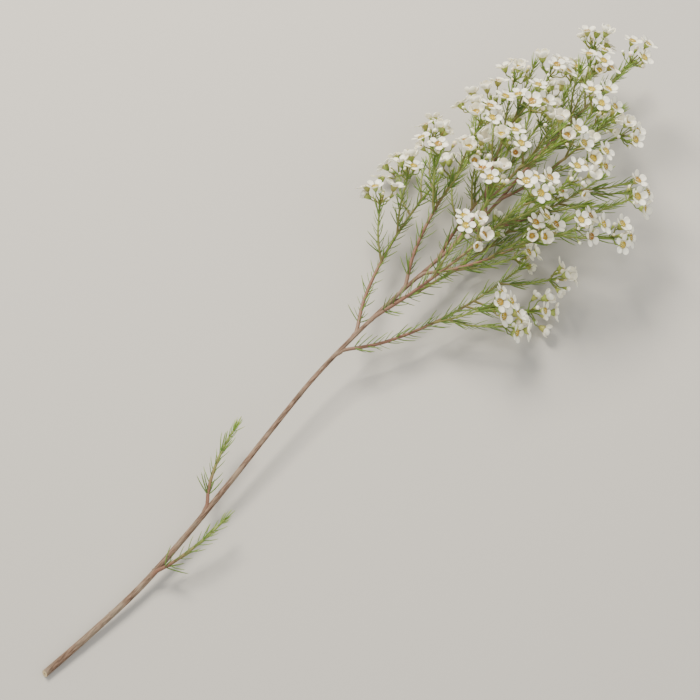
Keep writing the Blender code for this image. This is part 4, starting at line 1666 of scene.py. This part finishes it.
stemDetail = {
    "rounding": 0.93,  # the round stem stays as low as the flat sides of its solid
    "beyondCut": 0.004,
    "scarSpacing": 0.021,
    "scarPaces": (0.85, 1.15),
    "firstScar": 0.016,
    "firstAzimuth": 20,
    "lastScar": 0.9,  # of the stem's length
    "scarSize": (0.0010, 0.0008, 0.0006),
    "scarSizes": (0.9, 1.2),
    "scarSwings": (-10, 10),
    "scarSunk": 0.86,
}


# Skeleton of the woody stem: its line, run on past the cut, and its leaf scars in opposite pairs
def stemSkeleton(stem, place, chance):
    detail, skeleton = stemDetail, Skeleton(place)
    path = stem["path"]
    total, ahead = pathLength(path), (path[1] - path[0]).normalized()
    radii = [radius * detail["rounding"] for radius in stemRule["radii"]]
    skeleton.line([path[0] - ahead * detail["beyondCut"]] + path, radii, (0, 1))
    distance, azimuth = detail["firstScar"], detail["firstAzimuth"]
    while distance < total * detail["lastScar"]:
        point, ahead = pointAt(path, distance)
        radius = between(radii, distance / total)
        for opposite in (0, 180):
            swing = chance.uniform(*detail["scarSwings"])
            outward = turned(sidewaysOf(ahead), ahead, azimuth + opposite + swing)
            thickest, spread = stemRule["radii"][0], detail["scarSizes"]
            size = [part * radius / thickest * chance.uniform(*spread) for part in detail["scarSize"]]
            skeleton.shape(1, point + outward * radius * detail["scarSunk"], ahead, outward, size, 0.5)
        distance += detail["scarSpacing"] * chance.uniform(*detail["scarPaces"])
        azimuth += 90
    return skeleton


# Cuts the stem's foot to a slanted plane and closes it with pale wood
def cutFoot(piece, centre, normal, wood):
    piece.data.materials.append(wood)
    form = bmesh.new()
    form.from_mesh(piece.data)
    everything = form.verts[:] + form.edges[:] + form.faces[:]
    bmesh.ops.bisect_plane(form, geom=everything, plane_co=centre, plane_no=-normal, clear_outer=True)
    openEdges = [edge for edge in form.edges if edge.is_boundary]
    for face in bmesh.ops.edgeloop_fill(form, edges=openEdges)["faces"]:
        face.material_index = len(piece.data.materials) - 1
        face.smooth = False
        if face.normal.dot(normal) > 0:
            face.normal_flip()
    form.to_mesh(piece.data)
    form.free()


# Hangs the piece under the root body and hides the frame's solid of the node that it stands for
def dress(piece, node):
    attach(piece, "root")
    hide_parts(node)


studio = {
    "floor": "#B8B4AB",
    "floorSize": 40.0,
    "floorRoughness": 0.85,
    "lights": (  # place, size, power, warmth
        ((-0.95, 0.45, 1.30), 0.6, 52, "#FFF8EC"),
        ((0.95, 0.80, 1.00), 1.2, 8, "#F8F9FF"),
        ((0.50, -1.20, 0.90), 1.0, 5, "#FFFFFF"),
    ),
    "sky": "#F1F2F3",
    "skyStrength": 0.82,
}
framing = {
    "azimuth": 42,
    "elevation": 66,
    "lens": 85,
    "room": 1.07,  # width of the picture, in widths of what it shows
    "stride": 9,  # every ninth point is enough to frame by
    "rounds": 5,
    "startHeight": 2,
}


# Seamless pale paper, matte, three soft lights and an even sky
def makeStudio():
    paper = {"Base Color": colourOf(studio["floor"]), "Roughness": studio["floorRoughness"]}
    half = studio["floorSize"] / 2
    mesh = bpy.data.meshes.new("floor")
    corners = [(x * half, y * half, 0) for x, y in ((-1, -1), (1, -1), (1, 1), (-1, 1))]
    mesh.from_pydata(corners, [], [(0, 1, 2, 3)])
    mesh.materials.append(newMaterial("studio_paper", **paper)[0])
    floor = bpy.data.objects.new("floor", mesh)
    bpy.context.scene.collection.objects.link(floor)
    for number, (place, size, power, warmth) in enumerate(studio["lights"]):
        light = bpy.data.lights.new(f"soft_light_{number + 1}", "AREA")
        light.size, light.energy, light.color = size, power, colourOf(warmth)[:3]
        lamp = bpy.data.objects.new(light.name, light)
        lamp.location = place
        lamp.rotation_euler = (-Vector(place)).to_track_quat("-Z", "Y").to_euler()
        bpy.context.scene.collection.objects.link(lamp)
    world = bpy.data.worlds.new("studio")
    world.use_nodes = True
    sky = world.node_tree.nodes["Background"]
    sky.inputs["Color"].default_value = colourOf(studio["sky"])
    sky.inputs["Strength"].default_value = studio["skyStrength"]
    bpy.context.scene.world = world


# Camera that looks down on the stem, moved until all of it is seen and in the middle
def makeCamera(pieces):
    azimuth, elevation = math.radians(framing["azimuth"]), math.radians(framing["elevation"])
    level = math.cos(elevation)
    back = Vector((math.sin(azimuth) * level, -math.cos(azimuth) * level, math.sin(elevation)))
    turn = (-back).to_track_quat("-Z", "Y")
    facing = turn.inverted()
    lens = bpy.data.cameras.new("camera")
    lens.lens = framing["lens"]
    slope = lens.sensor_width / 2 / lens.lens
    corners = (corner for piece in pieces for corner in piece.data.vertices)
    points = [facing @ corner.co for corner in itertools.islice(corners, 0, None, framing["stride"])]
    eye = Vector((0, 0, framing["startHeight"]))
    for _ in range(framing["rounds"]):
        across = [(p.x - eye.x) / (eye.z - p.z) for p in points]
        upwards = [(p.y - eye.y) / (eye.z - p.z) for p in points]
        depth = eye.z - sum(p.z for p in points) / len(points)
        eye.x += (min(across) + max(across)) / 2 * depth
        eye.y += (min(upwards) + max(upwards)) / 2 * depth
        half = max(max(across) - min(across), max(upwards) - min(upwards)) / 2
        eye.z += depth * (half * framing["room"] / slope - 1)
    camera = bpy.data.objects.new("camera", lens)
    camera.location = turn @ eye
    camera.rotation_euler = turn.to_euler()
    bpy.context.scene.collection.objects.link(camera)
    bpy.context.scene.camera = camera


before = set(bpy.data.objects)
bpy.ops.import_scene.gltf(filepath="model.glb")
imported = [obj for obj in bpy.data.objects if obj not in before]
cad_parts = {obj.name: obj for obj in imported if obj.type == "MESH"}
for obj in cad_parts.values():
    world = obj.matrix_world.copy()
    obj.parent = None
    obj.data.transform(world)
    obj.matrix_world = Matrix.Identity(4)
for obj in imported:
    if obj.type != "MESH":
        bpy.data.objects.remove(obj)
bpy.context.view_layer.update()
print("frame loaded")

stem, sprays, clusters, space = growAll()
place = restingPlace([shape for grown in [stem] + sprays + clusters for shape in grown["shapes"]])
chance = random.Random(leafMore["seed"])
for spray in sprays:
    for twig in spray["twigs"]:
        growMoreNeedles(space, chance, twig)
chance = random.Random(headMore["seed"])
for cluster in clusters:
    growMoreHeads(space, chance, cluster)
needleCount = sum(len(twig["needles"]) for spray in sprays for twig in spray["twigs"])
headCount = sum(len(cluster["heads"]) for cluster in clusters)
print(f"grown: {len(sprays)} shoots, {len(clusters)} clusters, {headCount} heads, {needleCount} needles")

petal, calyx, budSkin = makeWaxyPetal(), makeCalyxSkin(), makeBudSkin()
flowerTree = growthTree("flower_cluster_growth", flowerKinds)
flowerValues = {
    "Step": 0.0011,
    "Sides": 7,
    "Flare": 0.35,
    "Flare length": 0.0016,
    "Relief": 0.00008,
    "Relief size": scaleOf(1.2),
    "Seed": 3,
    "Skin": calyx,
    "cup shape": makeCup(),
    "disc shape": makeDisc(),
    "stamens shape": makeStamens(),
    "bud shape": makeBud(),
    "bud_cup shape": makeBudCup(),
    "cup material": calyx,
    "bud_cup material": calyx,
    "disc material": makeNectarDisc(),
    "stamens material": makeStamenTissue(),
    "bud material": budSkin,
}
for name, form in petalShape["forms"].items():
    flowerValues |= {f"{name} shape": makePetal(name, *form), f"{name} material": petal}
pieces = []
for cluster in clusters:
    skeleton = clusterSkeleton(cluster, place, chance)
    piece = grownPiece("visual_" + cluster["name"], skeleton, flowerTree, flowerValues)
    dress(piece, cluster["name"])
    pieces.append(piece)
print("flower clusters made")

shootTree = growthTree("leafy_shoot_growth", leafKinds)
leaf = makeNeedleLeaf()
shootValues = {
    "Step": 0.0018,
    "Sides": 8,
    "Flare": 0.25,
    "Flare length": 0.012,
    "Relief": 0.00022,
    "Relief size": scaleOf(2.5),
    "Seed": 4,
    "Skin": makeShootSkin(),
}
for name, bow in needleShape["bows"].items():
    shootValues |= {f"{name} shape": makeNeedle(name, bow), f"{name} material": leaf}
for spray in sprays:
    skeleton = spraySkeleton(spray, place, chance)
    piece = grownPiece("visual_" + spray["name"], skeleton, shootTree, shootValues)
    dress(piece, spray["name"])
    pieces.append(piece)
print("leafy shoots made")

bark = makeFibrousBark()
stemTree = growthTree("woody_stem_growth", stemKinds)
stemValues = {
    "Step": 0.0012,
    "Sides": 28,
    "Flare": 0.0,
    "Flare length": 0.02,
    "Relief": 0.00035,
    "Relief size": scaleOf(3.5),
    "Seed": 6,
    "Skin": bark,
    "leaf_scar shape": makeScar(),
    "leaf_scar material": bark,
}
skeleton = stemSkeleton(stem, place, chance)
piece = grownPiece("visual_main_stem", skeleton, stemTree, stemValues)
foot, ahead = place @ stem["path"][0], (stem["path"][1] - stem["path"][0]).normalized()
cutNormal = place.to_3x3() @ tilted(ahead, up, stemRule["cutSlant"], 180)
cutFoot(piece, foot, cutNormal, makeCutWood(foot))
dress(piece, "main_stem")
pieces.append(piece)
print("woody stem made")

for values in (flowerValues, shootValues, stemValues):
    for value in values.values():
        if isinstance(value, bpy.types.Object):
            bpy.data.meshes.remove(value.data)

makeCamera(pieces)
makeStudio()
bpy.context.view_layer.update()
faceCount = sum(len(face.vertices) - 2 for piece in pieces for face in piece.data.polygons)
print("camera, floor and lights made; triangles in all:", faceCount)
